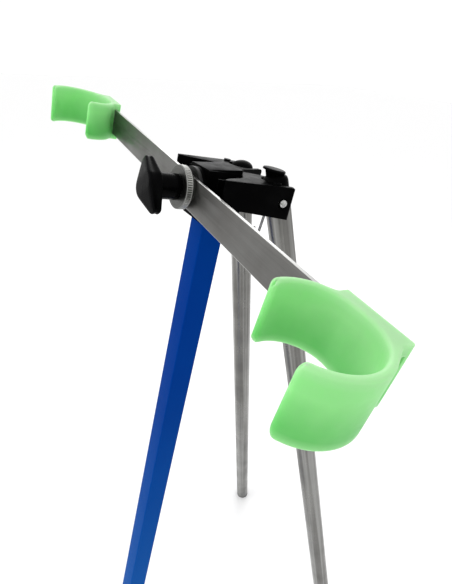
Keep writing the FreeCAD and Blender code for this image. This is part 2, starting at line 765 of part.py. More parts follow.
# Square front leg, its inner plug at the bolt and its foot
def make_front_leg():
    half = "front_leg_width / 2"
    bore_half = f"({half} - front_leg_wall)"
    leg_low = (
        f"-((stand_height - sin(head_lean_angle) * ({LEG_FRONT} + front_leg_width))"
        " / cos(head_lean_angle) - foot_thick)"
    )
    outer = box("front_tube_outer", (f"-{half}", half), (LEG_FRONT, f"{LEG_FRONT} + front_leg_width"),
                (leg_low, f"{SOCKET_TOP} - slide_fit"))
    inner = box(
        "front_tube_inner",
        (f"-{bore_half}", bore_half),
        (f"{LEG_FRONT} + front_leg_wall", f"{LEG_FRONT} + front_leg_width - front_leg_wall"),
        (f"{leg_low} - cut_overrun", f"{SOCKET_TOP} + cut_overrun"),
    )
    bolt_span = ("0", f"{BLOCK_BACK}")
    hole = rod("front_tube_bolt_hole", "bolt_radius + bore_fit", "y", bolt_span, ("0", "pivot_rise"))
    add_node(cut("front_tube", outer, [inner, hole]), "front_leg_tube", head_frame)

    plug_half = f"({bore_half} - slide_fit)"
    plug_y = (f"{LEG_MIDDLE} - {plug_half}", f"{LEG_MIDDLE} + {plug_half}")
    plug_top = f"({SOCKET_TOP} - slide_fit)"
    plug = box("plug_block", (f"-{plug_half}", plug_half), plug_y, (f"{plug_top} - plug_height", plug_top))
    plug_hole = rod("plug_bolt_hole", "bolt_radius + bore_fit", "y", bolt_span, ("0", "pivot_rise"))
    add_node(cut("plug_drilled", plug, [plug_hole]), "front_leg_plug", head_frame)

    pad = box("front_foot_pad", (f"-{half}", half), (LEG_FRONT, f"{LEG_FRONT} + front_leg_width"),
              (f"{leg_low} - foot_thick - front_leg_width", leg_low))
    spigot = box("front_foot_spigot", (f"-{plug_half}", plug_half), plug_y,
                 (f"{leg_low} - foot_thick", f"{leg_low} + foot_spigot"))
    foot_frame = head_frame * at_frame("0", LEG_MIDDLE, "0", UP, 0)
    ground = below_ground("front_ground", foot_frame)
    ground.Placement = at_frame("0", LEG_MIDDLE, "0", UP, 0) * ground.Placement
    foot = cut("front_foot", fuse("front_foot_whole", [pad, spigot]), [ground])
    add_node(foot, "front_leg_foot", head_frame)


LEG_UPRIGHT = (
    "(sin(head_lean_angle) * cos(leg_yaw_angle) * sin(leg_spread_angle)"
    " + cos(head_lean_angle) * cos(leg_spread_angle))"
)
PIN_HEIGHT = "(stand_height - sin(head_lean_angle) * pin_y + cos(head_lean_angle) * pin_z)"
LEG_REACH = f"({PIN_HEIGHT} / {LEG_UPRIGHT})"
LEG_END = f"({LEG_REACH} - foot_thick - leg_radius * tan(acos({LEG_UPRIGHT})))"


def tilted_cap():
    """Flat cap on its own stub, leaning back on the right knuckle's neck."""
    profile = [(f"{share} * neck_radius", f"{rise} * neck_height") for share, rise in STUB_SHARES]
    profile += [(f"{share} * cap_radius", f"{rise} * cap_thick") for share, rise in CAP_SHARES]
    cap = turned("cap_tilted", profile)
    cap.Placement = at_frame("0", "0", "leg_lip + neck_height", ACROSS, -size("cap_tilt_angle"))
    return cap


# Round rear leg: tube, moulded knuckle on its pin, and foot
def make_rear_leg(side):
    name = SIDE_NAMES[side]
    frame = leg_frame(side)
    outer = rod(f"leg_outer_{name}", "leg_radius", "z", (f"-{LEG_END}", "leg_lip"))
    inner = rod(f"leg_inner_{name}", "leg_radius - leg_wall", "z",
                (f"-{LEG_END} - cut_overrun", "leg_lip + cut_overrun"))
    cross = (f"-{SLOT_HALF}", SLOT_HALF)
    hole = rod(f"leg_pin_hole_{name}", "rivet_radius + bore_fit", "x", cross)
    add_node(cut(f"leg_tube_{name}", outer, [inner, hole]), f"rear_leg_tube_{name}", frame)

    spigot_radius = "(leg_radius - leg_wall - slide_fit)"
    profile = [("0", "-spigot_depth"), (spigot_radius, "-spigot_depth"), (spigot_radius, "leg_lip")]
    if side == RIGHT:
        profile += [
            (f"{share} * leg_radius", f"leg_lip + {rise} * neck_height")
            for share, rise in NECK_SHARES
        ]
    else:
        profile.append(("leg_radius", "leg_lip"))
        profile += [
            (f"{share} * leg_radius", f"leg_lip + dome_collar + {rise} * (dome_height - dome_collar)")
            for share, rise in DOME_SHARES
        ]
    knuckle = turned(f"knuckle_{name}", profile)
    if side == RIGHT:
        knuckle = fuse("knuckle_capped", [knuckle, tilted_cap()])
    pin_hole = rod(f"knuckle_pin_hole_{name}", "rivet_radius + bore_fit", "x", cross)
    add_node(cut(f"knuckle_drilled_{name}", knuckle, [pin_hole]), f"leg_knuckle_{name}", frame)

    pad = rod(f"foot_pad_{name}", "leg_radius", "z", (f"-{LEG_REACH} - leg_radius", f"-{LEG_END}"))
    plug_span = (f"-{LEG_END} - foot_thick", f"-{LEG_END} + foot_spigot")
    plug = rod(f"foot_plug_{name}", spigot_radius, "z", plug_span)
    ground = below_ground(f"ground_{name}", frame)
    foot = cut(f"foot_{name}", fuse(f"foot_whole_{name}", [pad, plug]), [ground])
    add_node(foot, f"rear_leg_foot_{name}", frame)


# Domed rivets through the arms and legs, with their washers inside the arms
def make_rivets():
    washers = []
    for side, name in SIDE_NAMES.items():
        frame = head_frame * pin_in_head(side) * Placement(Vector(), Rotation(BACK, side * 90))
        ball = "((rivet_head_radius ^ 2 + rivet_head_height ^ 2) / (2 * rivet_head_height))"
        dome = doc.addObject("Part::Sphere", f"rivet_dome_{name}")
        bind(dome, {
            "Radius": ball,
            "Angle1": f"asin(1 - rivet_head_height / {ball})",
            "Placement.Base.z": f"rivet_seat + rivet_head_height - {ball}",
        })
        hook_stack = "2 * (hook_wire_radius + hook_side_gap)" if side == RIGHT else "0"
        tail = f"({INNER_FACE} + rivet_washer_thick + {hook_stack})"
        shank = rod(f"rivet_shank_{name}", "rivet_radius", "z", (f"-{tail}", "rivet_seat"))
        clench = rod(f"rivet_clench_{name}", "rivet_head_radius", "z",
                     (f"-{tail} - rivet_tail_height", f"-{tail}"))
        add_node(fuse(f"rivet_{name}", [dome, shank, clench]), f"pivot_rivet_{name}", frame)
        washer = turned(f"rivet_washer_{name}", [
            ("rivet_radius + bore_fit", f"-{INNER_FACE} - rivet_washer_thick"),
            ("rivet_washer_radius", f"-{INNER_FACE} - rivet_washer_thick"),
            ("rivet_washer_radius", f"-{INNER_FACE}"),
            ("rivet_radius + bore_fit", f"-{INNER_FACE}"),
        ])
        washer.Placement = frame
        washers.append(washer)
    add_node(group("rivet_washer_pair", washers), "rivet_washers", Placement())


# Wire hook on the right rivet, inside the arm
def make_weight_hook():
    eye = doc.addObject("Part::Torus", "hook_eye")
    bind(eye, {"Radius1": "hook_eye_radius", "Radius2": "hook_wire_radius"})
    eye.Placement = Placement(Vector(), Rotation(BACK, 90))
    low = "-hook_eye_radius - hook_stem_length"
    stem = rod("hook_stem", "hook_wire_radius", "z", (low, "-hook_eye_radius"))
    bend = doc.addObject("Part::Torus", "hook_bend")
    bind(bend, {
        "Radius1": "hook_bend_radius",
        "Radius2": "hook_wire_radius",
        "Angle3": "hook_bend_angle",
    })
    bend.Placement = at_frame("-hook_bend_radius", "0", low, ACROSS, -90)
    tip = doc.addObject("Part::Sphere", "hook_tip")
    bind(tip, {
        "Radius": "hook_wire_radius",
        "Placement.Base.x": "hook_bend_radius * (cos(hook_bend_angle) - 1)",
        "Placement.Base.z": f"{low} - hook_bend_radius * sin(hook_bend_angle)",
    })
    crook = fuse("hook_crook", [stem, bend, tip])
    crook.Placement = Placement(Vector(), Rotation(BACK, size("hook_slope_angle")))
    frame = head_frame * pin_in_head(RIGHT) * at_frame(
        f"-({HOOK_SEAT} + hook_wire_radius)", "0", "0", UP, 0
    )
    add_node(fuse("hook_whole", [eye, crook]), "weight_hook", frame)


def check_document():
    """Stop if any object failed or any piece is not a sound solid."""
    for item in doc.Objects:
        if "Invalid" in item.State or "Error" in item.State:
            raise RuntimeError(f"{item.Name} failed: {item.State}")
    for node, item in nodes.items():
        if item.Shape.isNull() or not item.Shape.isValid() or not item.Shape.Solids:
            raise RuntimeError(f"{node} is not a sound solid")


def rest_on_origin():
    """Put the middle of the whole stand's footprint at the origin, on the ground."""
    whole = FreeCAD.BoundBox()
    for item in nodes.values():
        whole.add(item.Shape.optimalBoundingBox(False, False))
    shift = Vector(-whole.Center.x, -whole.Center.y, 0)
    for item in nodes.values():
        item.Placement = Placement(shift, Rotation()) * item.Placement
    doc.recompute()
    return shift


make_crossbar()
make_rests()
make_bolt()
make_clamp_disc()
make_knob()
make_head()
make_front_leg()
for leg_side in SIDE_NAMES:
    make_rear_leg(leg_side)
make_rivets()
make_weight_hook()
doc.recompute()
check_document()
origin_shift = rest_on_origin()
check_document()

print("shift", origin_shift)
pivot = Placement(origin_shift, Rotation()) * axle_frame
print("bolt axis at", pivot.Base, "along", pivot.Rotation.multVec(UP))
for leg_side, side_name in SIDE_NAMES.items():
    hinge = Placement(origin_shift, Rotation()) * leg_frame(leg_side)
    print(side_name, "leg pin at", hinge.Base, "along", hinge.Rotation.multVec(ACROSS))

os.makedirs("parts", exist_ok=True)
for node, item in nodes.items():
    item.Shape.exportStep(f"parts/{node}.step")
    print(node, len(item.Shape.Solids), round(item.Shape.Volume, 1))
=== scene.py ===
"""Looks of the surf rod tripod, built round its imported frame.

The row frame is in metres: X along the crossbar, Y to the back, Z up. Each piece is drawn in
millimetres in its own sub-assembly's frame and then laid into the row frame, with its object
at the origin.
"""

import json
import logging
import math
from collections.abc import Sequence
from dataclasses import dataclass
from enum import Enum
from itertools import pairwise
from typing import Any, Protocol

import bmesh
import bpy
from mathutils import Euler, Matrix, Vector

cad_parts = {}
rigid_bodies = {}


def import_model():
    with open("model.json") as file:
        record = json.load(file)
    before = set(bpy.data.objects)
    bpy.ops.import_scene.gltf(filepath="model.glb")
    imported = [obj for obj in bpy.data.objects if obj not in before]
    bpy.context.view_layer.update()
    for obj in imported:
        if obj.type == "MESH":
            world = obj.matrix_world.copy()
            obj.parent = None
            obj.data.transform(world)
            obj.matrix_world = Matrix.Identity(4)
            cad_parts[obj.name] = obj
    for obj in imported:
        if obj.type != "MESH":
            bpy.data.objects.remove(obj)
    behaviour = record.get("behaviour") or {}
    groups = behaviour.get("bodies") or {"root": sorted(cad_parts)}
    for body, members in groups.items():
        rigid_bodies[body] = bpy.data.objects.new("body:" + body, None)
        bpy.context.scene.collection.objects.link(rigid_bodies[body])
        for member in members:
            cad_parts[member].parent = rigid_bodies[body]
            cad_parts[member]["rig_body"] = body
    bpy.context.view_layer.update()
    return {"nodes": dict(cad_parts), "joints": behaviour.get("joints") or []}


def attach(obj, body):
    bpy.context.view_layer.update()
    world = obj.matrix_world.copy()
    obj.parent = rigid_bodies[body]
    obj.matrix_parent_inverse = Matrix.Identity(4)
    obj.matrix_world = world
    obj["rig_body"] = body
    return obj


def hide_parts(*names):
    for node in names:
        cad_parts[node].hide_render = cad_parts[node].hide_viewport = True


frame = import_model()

MM = 0.001
EDGE = "edge_wear"  # the attribute that marks a piece's outer edges: wear and dust on the black plastic and rubber, a painted highlight on bare metal, a painted glow on the rests' rims
NOISE_SPAN = (0.3, 0.7)  # the values that a noise mostly keeps between
ON_AXIS = 1e-6  # the radius below which a lathe's point lies on its axis
MERGE_GAP = 0.002  # millimetres between vertices that become one
FLAT_TURN = 0.6  # degrees between faces that become one
CUT_CLEAR = 1.0  # millimetres that a cutter stands out of its piece
LOG = logging.getLogger("surf_rod_tripod")

Colour = tuple[float, float, float]
Span = tuple[float, float]
Grain = tuple[float, ...]  # a noise's scale, then its detail and roughness if not the usual ones
Plan = list[Vector]
Ring = list[Vector]
Profile = Sequence[Span]


class Side(Enum):
    """The two sides of the stand, by the sign of their X."""

    RIGHT = 1
    LEFT = -1


class Slot(Enum):
    """Names of the record's material slots."""

    GREEN = "green_plastic"
    BAR = "bar_aluminium"
    DISC = "disc_aluminium"
    LEG = "leg_metal"
    BLUE = "blue_paint"
    BLACK = "black_plastic"
    FOOT = "foot_rubber"
    STEEL = "fastener_steel"
    FRICTION = "friction_rubber"


# Node trees

class NodeDesk:
    """A material's node tree, with short calls to add and join its nodes."""

    def __init__(self, name: str) -> None:
        """Start a material with its shader.

        Args:
            name: the material's name.
        """
        self.material = bpy.data.materials.new(name)
        self.material.use_nodes = True
        self.tree = self.material.node_tree
        self.shader = self.tree.nodes["Principled BSDF"]

    def add(self, kind: str, inputs: dict[Any, Any] | None = None, **settings: Any) -> bpy.types.Node:
        """Add a node.

        Args:
            kind: the node's type name, without the word ShaderNode.
            inputs: sockets or values for the node's inputs, by name or number.
            settings: the node's own properties.

        Returns:
            The new node.
        """
        node = self.tree.nodes.new(f"ShaderNode{kind}")
        for key, value in settings.items():
            setattr(node, key, value)
        for key, value in (inputs or {}).items():
            self.feed(node.inputs[key], value)
        return node

    def feed(self, target: bpy.types.NodeSocket, value: Any) -> None:
        """Join a socket to another socket, or set its value.

        Args:
            target: the socket that is fed.
            value: a socket or a plain value.
        """
        if isinstance(value, bpy.types.NodeSocket):
            self.tree.links.new(value, target)
        else:
            target.default_value = value

    def set(self, **values: Any) -> None:
        """Feed the shader's inputs, named with underscores for spaces."""
        for key, value in values.items():
            self.feed(self.shader.inputs[key.replace("_", " ")], value)

    def local(self, place: Matrix, stretch: Colour = (1.0, 1.0, 1.0)) -> bpy.types.NodeSocket:
        """Object coordinates seen from a piece's own frame.

        Args:
            place: the frame, in the row frame.
            stretch: how often a pattern repeats along each of the frame's axes.

        Returns:
            The coordinates.
        """
        back = place.inverted()
        objects = self.add("TexCoord").outputs["Object"]
        turned = self.add("Mapping", {
            "Vector": objects,
            "Location": back.translation,
            "Rotation": back.to_euler("XYZ"),
        })
        return self.add("Mapping", {"Vector": turned.outputs[0], "Scale": stretch}).outputs[0]

    def noise(
        self, vector: Any, scale: float, detail: float = 3.0, rough: float = 0.5
    ) -> bpy.types.NodeSocket:
        """Fractal noise between 0 and 1."""
        inputs = {"Vector": vector, "Scale": scale, "Detail": detail, "Roughness": rough}
        return self.add("TexNoise", inputs).outputs[0]

    def spread(
        self, value: Any, low: float, high: float, first: float = 0.0, last: float = 1.0
    ) -> bpy.types.NodeSocket:
        """Map the span low to high of a value to first to last, held at the ends."""
        inputs = {"Value": value, "From Min": low, "From Max": high, "To Min": first, "To Max": last}
        return self.add("MapRange", inputs).outputs[0]

    def part(self, vector: Any, axis: int) -> bpy.types.NodeSocket:
        """One of a vector's three numbers."""
        return self.add("SeparateXYZ", {0: vector}).outputs[axis]

    def mix(self, factor: Any, first: Any, second: Any) -> bpy.types.NodeSocket:
        """Blend two colours by a factor."""
        pair = [(*c, 1.0) if isinstance(c, tuple) else c for c in (first, second)]
        return self.add("Mix", {0: factor, 6: pair[0], 7: pair[1]}, data_type="RGBA").outputs[2]

    def maths(self, operation: str, first: Any, second: Any = 0.0) -> bpy.types.NodeSocket:
        """One sum on two values."""
        return self.add("Math", {0: first, 1: second}, operation=operation).outputs[0]

    def wear_and_highlight(self) -> bpy.types.NodeSocket:
        """The mesh's own edge attribute, 1 along its outer edges: wear and dust on some finishes, a painted
        highlight and glow on others.
        """
        return self.add("Attribute", attribute_name=EDGE).outputs["Fac"]

    def bump(self, height: Any, depth: float, below: Any = None) -> bpy.types.NodeSocket:
        """Normal of a relief of that depth in metres, over another normal.

        Args:
            height: the relief, as a socket.
            depth: its depth in metres.
            below: the normal that it lies over.

        Returns:
            The socket with the result.
        """
        inputs = {"Height": height, "Distance": depth, "Strength": 1.0}
        if below is not None:
            inputs["Normal"] = below
        return self.add("Bump", inputs).outputs[0]


class Finish(Protocol):
    """Anything that makes a material for a piece in a frame."""

    def build(self, name: str, place: Matrix) -> bpy.types.Material:
        """Make the material for a piece drawn in that frame."""


@dataclass(frozen=True)
class GlowPlastic:
    """Soft translucent moulded plastic of the rod rests."""

    # deep: the colour of the painted shade low on the rest.
    deep: Colour = (0.100, 0.46, 0.100)
    body: Colour = (0.260, 0.64, 0.235)
    # rim: the colour of the painted glow on the rims and tips.
    rim: Colour = (0.36, 0.63, 0.33)
    roughness: float = 0.45
    roughness_swing: Span = (-0.06, 0.06)
    sheen: float = 0.22
    scatter: float = 0.010
    scatter_share: float = 0.85
    scatter_tint: Colour = (0.6, 1.0, 0.6)
    upward: float = 1.0
    fade: float = 0.018
    fade_end: float = 0.6
    cloud: Grain = (45.0, 2.0)
    mottle: Grain = (220.0,)
    grain: Grain = (1400.0, 2.0)
    grain_depth: float = 0.00002
    ripple: Grain = (120.0, 2.0)
    ripple_depth: float = 0.00012

    def build(self, name: str, place: Matrix) -> bpy.types.Material:
        """Make the material: paler rims as a painted glow, a cloudy body that deepens downwards as painted
        shade, and a fine moulded grain.

        Args:
            name: the material's name.
            place: the frame that the piece is drawn in.

        Returns:
            The material.
        """
        desk = NodeDesk(name)
        local = desk.local(place)
        # Painted shade: the body turns towards the deep colour lower down, with a cloudy border.
        height = desk.maths("MULTIPLY", desk.part(local, 2), self.upward)
        cloud = desk.maths("MULTIPLY", desk.noise(local, *self.cloud), self.fade)
        level = desk.maths("SUBTRACT", desk.maths("ADD", height, cloud), self.fade / 2)
        body = desk.mix(desk.spread(level, -self.fade, self.fade * self.fade_end), self.deep, self.body)
        ripple = desk.bump(desk.noise(local, *self.ripple), self.ripple_depth)
        rough = (self.roughness + swing for swing in self.roughness_swing)
        desk.set(
            # Painted glow: the rims and tips turn to the paler rim colour.
            Base_Color=desk.mix(desk.wear_and_highlight(), body, self.rim),
            Roughness=desk.spread(desk.noise(local, *self.mottle), *NOISE_SPAN, *rough),
            Normal=desk.bump(desk.noise(local, *self.grain), self.grain_depth, ripple),
            Subsurface_Weight=self.scatter_share,
            Subsurface_Radius=self.scatter_tint,
            Subsurface_Scale=self.scatter,
            Specular_IOR_Level=self.sheen,
        )
        return desk.material


@dataclass(frozen=True)
class DrawnMetal:
    """Bare metal with fine lines along one axis of its frame, smudged by handling."""

    clean: Colour
    smudge: Colour
    edge: Colour
    axis: int
    roughness: float = 0.34
    roughness_swing: Span = (-0.07, 0.09)
    edge_polish: float = 0.1
    lines: Grain = (1500.0, 3.0, 0.6)
    line_stretch: float = 0.012
    line_span: Span = (0.35, 0.65)
    line_depth: float = 0.00001
    line_share: float = 0.12
    reflection_band: Colour = (0.155, 0.150, 0.142)
    bands: Grain = (170.0, 1.0)
    band_span: Span = (0.42, 0.58)
    band_share: float = 0.0
    smudges: Grain = (22.0, 4.0, 0.55)
    smudge_span: Span = (0.38, 0.66)
    side: float = 0.0
    side_fade: float = 0.0002

    def build(self, name: str, place: Matrix) -> bpy.types.Material:
        """Make the material: drawn lines, broad smudges, pale lengthwise bands as a painted reflection, and
        polished edges with a painted highlight.

        Args:
            name: the material's name.
            place: the frame that the piece is drawn in.

        Returns:
            The material.
        """
        desk = NodeDesk(name)
        stretch = [1.0, 1.0, 1.0]
        stretch[self.axis] = self.line_stretch
        along = desk.local(place, tuple(stretch))
        local = desk.local(place)
        lines = desk.noise(along, *self.lines)
        smudges = desk.noise(local, *self.smudges)
        colour = desk.mix(desk.spread(smudges, *self.smudge_span), self.clean, self.smudge)
        # Painted reflection: pale bands along the lines, like the stripes a round tube reflects.
        bands = desk.spread(desk.noise(along, *self.bands), *self.band_span, 0.0, self.band_share)
        colour = desk.mix(bands, colour, self.reflection_band)
        fine = desk.mix(desk.spread(lines, *self.line_span, 0.0, self.line_share), colour, self.edge)
        wear_and_highlight = desk.wear_and_highlight()
        # Painted highlight: past side from the middle, the piece turns to the bright edge colour, as along
        # the bar's top and bottom edges.
        if self.side:
            across = desk.maths("ABSOLUTE", desk.part(local, 2))
            wear_and_highlight = desk.maths("MAXIMUM", wear_and_highlight, desk.spread(across, self.side - self.side_fade, self.side))
        rough = (self.roughness + swing for swing in self.roughness_swing)
        shine = desk.spread(smudges, *NOISE_SPAN, *rough)
        desk.set(
            # Painted highlight on the edges in the colour; their lower roughness is real polish.
            Base_Color=desk.mix(wear_and_highlight, fine, self.edge),
            Metallic=1.0,
            Roughness=desk.maths("SUBTRACT", shine, desk.maths("MULTIPLY", wear_and_highlight, self.edge_polish)),
            Normal=desk.bump(lines, self.line_depth),
        )
        return desk.material


@dataclass(frozen=True)
class TurnedMetal:
    """Metal faced on a lathe, with fine rings round the frame's Z axis."""

    clean: Colour = (0.085, 0.088, 0.080)
    ring: Colour = (0.14, 0.14, 0.135)
    edge: Colour = (0.75, 0.75, 0.73)
    roughness: float = 0.33
    roughness_rise: float = 0.1
    edge_polish: float = 0.12
    ring_pitch: float = 0.0004
    ring_depth: float = 0.000004
    ring_share: float = 0.5
    wobble: Grain = (60.0,)
    mottle: Grain = (90.0, 3.0)
    mottle_span: Span = (0.35, 0.65)

    def build(self, name: str, place: Matrix) -> bpy.types.Material:
        """Make the material: lathe rings, and bright edges that are a painted highlight over real polish.

        Args:
            name: the material's name.
            place: the frame that the piece is drawn in.

        Returns:
            The material.
        """
        desk = NodeDesk(name)
        local = desk.local(place)
        flat = desk.add("CombineXYZ", {0: desk.part(local, 0), 1: desk.part(local, 1)})
        reach = desk.add("VectorMath", {0: flat.outputs[0]}, operation="LENGTH").outputs["Value"]
        wobble = desk.maths("MULTIPLY", desk.noise(local, *self.wobble), self.ring_pitch)
        turns = desk.maths("MULTIPLY", desk.maths("ADD", reach, wobble), math.tau / self.ring_pitch)
        tone = desk.spread(desk.noise(local, *self.mottle), *self.mottle_span)
        colour = desk.mix(desk.maths("MULTIPLY", tone, self.ring_share), self.clean, self.ring)
        wear_and_highlight = desk.wear_and_highlight()
        shine = desk.spread(tone, 0.0, 1.0, self.roughness, self.roughness + self.roughness_rise)
        desk.set(
            # Painted highlight: the edges turn to the bright edge colour.
            Base_Color=desk.mix(wear_and_highlight, colour, self.edge),
            Metallic=1.0,
            Roughness=desk.maths("SUBTRACT", shine, desk.maths("MULTIPLY", wear_and_highlight, self.edge_polish)),
            Normal=desk.bump(desk.maths("SINE", turns), self.ring_depth),
        )
        return desk.material


@dataclass(frozen=True)
class CoatedBlue:
    """Deep blue coating on the front leg."""

    deep: Colour = (0.0, 0.030, 0.215)
    light: Colour = (0.0, 0.038, 0.240)
    # low: the paler colour of the painted light lower down the leg.
    low: Colour = (0.004, 0.085, 0.345)
    edge: Colour = (0.01, 0.09, 0.38)
    edge_share: float = 0.6
    roughness: float = 0.42
    roughness_swing: Span = (-0.05, 0.07)
    sheen: float = 0.008
    tone: Grain = (9.0, 3.0)
    mottle: Grain = (300.0,)
    lines: Grain = (900.0, 2.0)
    line_stretch: float = 0.01
    peel: Grain = (500.0,)
    relief_depth: float = 0.000003
    painted_light_span: Span = (0.2, 0.7)

    def build(self, name: str, place: Matrix) -> bpy.types.Material:
        """Make the material: faint drawn lines under a smooth coat, paler on the corners, and paler low down
        as painted light, with the upper part darker as painted shade.

        Args:
            name: the material's name.
            place: the frame that the piece is drawn in.

        Returns:
            The material.
        """
        desk = NodeDesk(name)
        local = desk.local(place)
        lines = desk.noise(desk.local(place, (1.0, 1.0, self.line_stretch)), *self.lines)
        tone = desk.spread(desk.noise(local, *self.tone), *NOISE_SPAN)
        # Painted light: paler lower down, the upper part left darker as painted shade under the head.
        drop = desk.spread(desk.maths("MULTIPLY", desk.part(local, 2), -1.0), *self.painted_light_span)
        colour = desk.mix(drop, desk.mix(tone, self.deep, self.light), self.low)
        peel = desk.bump(desk.noise(local, *self.peel), self.relief_depth)
        rough = (self.roughness + swing for swing in self.roughness_swing)
        desk.set(
            Base_Color=desk.mix(desk.maths("MULTIPLY", desk.wear_and_highlight(), self.edge_share), colour, self.edge),
            Roughness=desk.spread(desk.noise(local, *self.mottle), *NOISE_SPAN, *rough),
            Normal=desk.bump(lines, self.relief_depth, peel),
            Specular_IOR_Level=self.sheen,
        )
        return desk.material


@dataclass(frozen=True)
class MouldedBlack:
    """Black moulded plastic with a fine spark grain and greyed edges."""

    body: Colour = (0.0007, 0.0007, 0.0008)
    bloom: Colour = (0.0018, 0.0018, 0.0020)
    edge: Colour = (0.008, 0.008, 0.009)
    edge_share: float = 0.6
    roughness: float = 0.32
    roughness_rise: float = 0.14
    gloss: float = 0.012
    patches: Grain = (55.0, 5.0, 0.6)
    patch_span: Span = (0.42, 0.7)
    grain: Grain = (2600.0, 2.0)
    grain_depth: float = 0.00002
    swell: Grain = (160.0, 2.0)
    swell_depth: float = 0.00006

    def build(self, name: str, place: Matrix) -> bpy.types.Material:
        """Make the material: spark grain, faint bloom and greyed edges.

        Args:
            name: the material's name.
            place: the frame that the piece is drawn in.

        Returns:
            The material.
        """
        desk = NodeDesk(name)
        local = desk.local(place)
        bloom = desk.spread(desk.noise(local, *self.patches), *self.patch_span)
        colour = desk.mix(bloom, self.body, self.bloom)
        swell = desk.bump(desk.noise(local, *self.swell), self.swell_depth)
        desk.set(
            Base_Color=desk.mix(desk.maths("MULTIPLY", desk.wear_and_highlight(), self.edge_share), colour, self.edge),
            Roughness=desk.spread(bloom, 0.0, 1.0, self.roughness, self.roughness + self.roughness_rise),
            Normal=desk.bump(desk.noise(local, *self.grain), self.grain_depth, swell),
            Specular_IOR_Level=self.gloss,
        )
        return desk.material


@dataclass(frozen=True)
class PlainMetal:
    """Small metal parts with faint scratches."""

    clean: Colour
    dull: Colour
    roughness: float = 0.2
    roughness_rise: float = 0.16
    mottle: Grain = (420.0, 3.0)
    mottle_span: Span = (0.35, 0.68)
    scratches: Grain = (2400.0, 2.0)
    scratch_stretch: Colour = (1.0, 0.08, 1.0)
    scratch_depth: float = 0.000006

    def build(self, name: str, place: Matrix) -> bpy.types.Material:
        """Make the material: mottled tone and scratches.

        Args:
            name: the material's name.
            place: the frame that the piece is drawn in.

        Returns:
            The material.
        """
        desk = NodeDesk(name)
        tone = desk.spread(desk.noise(desk.local(place), *self.mottle), *self.mottle_span)
        scratches = desk.noise(desk.local(place, self.scratch_stretch), *self.scratches)
        desk.set(
            Base_Color=desk.mix(tone, self.clean, self.dull),
            Metallic=1.0,
            Roughness=desk.spread(tone, 0.0, 1.0, self.roughness, self.roughness + self.roughness_rise),
            Normal=desk.bump(scratches, self.scratch_depth),
        )
        return desk.material


@dataclass(frozen=True)
class Rubber:
    """Matt rubber, dusty where it is touched."""

    body: Colour = (0.016, 0.016, 0.017)
    dust: Colour = (0.075, 0.072, 0.066)
    dust_share: float = 0.6
    edge_share: float = 0.7
    roughness: float = 0.62
    roughness_rise: float = 0.2
    sheen: float = 0.3
    patches: Grain = (140.0, 5.0, 0.6)
    patch_span: Span = (0.45, 0.75)
    grain: Grain = (1800.0,)
    grain_depth: float = 0.00004

    def build(self, name: str, place: Matrix) -> bpy.types.Material:
        """Make the material: a fine grain under patches of dust.

        Args:
            name: the material's name.
            place: the frame that the piece is drawn in.

        Returns:
            The material.
        """
        desk = NodeDesk(name)
        local = desk.local(place)
        dust = desk.spread(desk.noise(local, *self.patches), *self.patch_span, 0.0, self.dust_share)
        dusty = desk.maths("MAXIMUM", dust, desk.maths("MULTIPLY", desk.wear_and_highlight(), self.edge_share))
        rough = (self.roughness, self.roughness + self.roughness_rise)
        desk.set(
            Base_Color=desk.mix(dusty, self.body, self.dust),
            Roughness=desk.spread(dust, 0.0, self.dust_share, *rough),
            Normal=desk.bump(desk.noise(local, *self.grain), self.grain_depth),
            Specular_IOR_Level=self.sheen,
        )
        return desk.material


# The left rest's frame is upside down, so its painted shade is turned over to stay low.
GREENS = {Side.RIGHT: GlowPlastic(), Side.LEFT: GlowPlastic(upward=-1.0)}
# The bar's side paints a highlight along its top and bottom edges.
BAR_METAL = DrawnMetal(
    (0.150, 0.149, 0.143), (0.125, 0.122, 0.116), (0.50, 0.50, 0.49), axis=0, roughness=0.42,
    line_depth=0.000004, line_share=0.05, side=0.0148,
)
# The tube's pale bands are painted reflection stripes along its length.
TUBE_METAL = DrawnMetal(
    (0.15, 0.147, 0.138), (0.105, 0.103, 0.096), (0.45, 0.45, 0.44), axis=2, roughness=0.3,
    line_depth=0.000005, reflection_band=(0.36, 0.36, 0.35), band_share=0.55,
)
DISC_METAL = TurnedMetal()
# Painted highlight: the knurl ribs are the disc's metal made much paler, so the rim looks lit.
LIT_RIB_METAL = TurnedMetal(clean=(0.42, 0.42, 0.40), ring=(0.6, 0.6, 0.58))
WIRE_STEEL = PlainMetal((0.25, 0.25, 0.25), (0.15, 0.15, 0.15))
LEG_BLUE = CoatedBlue()
BLACK = MouldedBlack()
KNOB_BLACK = MouldedBlack(roughness=0.24, gloss=0.024)
STEEL = PlainMetal((0.50, 0.50, 0.49), (0.26, 0.26, 0.26), 0.16)
BRASS = PlainMetal((0.65, 0.45, 0.16), (0.45, 0.30, 0.11), 0.3)
FOOT_RUBBER = Rubber()
PAD_RUBBER = Rubber(body=(0.003, 0.003, 0.003), dust=(0.010, 0.010, 0.010), roughness=0.5)


# Frames

def frame_at(origin: Vector, across: Vector, back: Vector) -> Matrix:
    """Frame from its origin and its X and Y directions."""
    columns = (across, back, across.cross(back))
    return Matrix.Translation(origin) @ Matrix([list(row) for row in zip(*columns)]).to_4x4()


def moved(x: float = 0.0, y: float = 0.0, z: float = 0.0) -> Matrix:
    """Shift in millimetres, as a matrix in metres."""
    return Matrix.Translation(Vector((x, y, z)) * MM)


def turned(degrees: float, axis: str) -> Matrix:
    """Turn about one of the frame's own axes."""
    return Matrix.Rotation(math.radians(degrees), 4, axis)


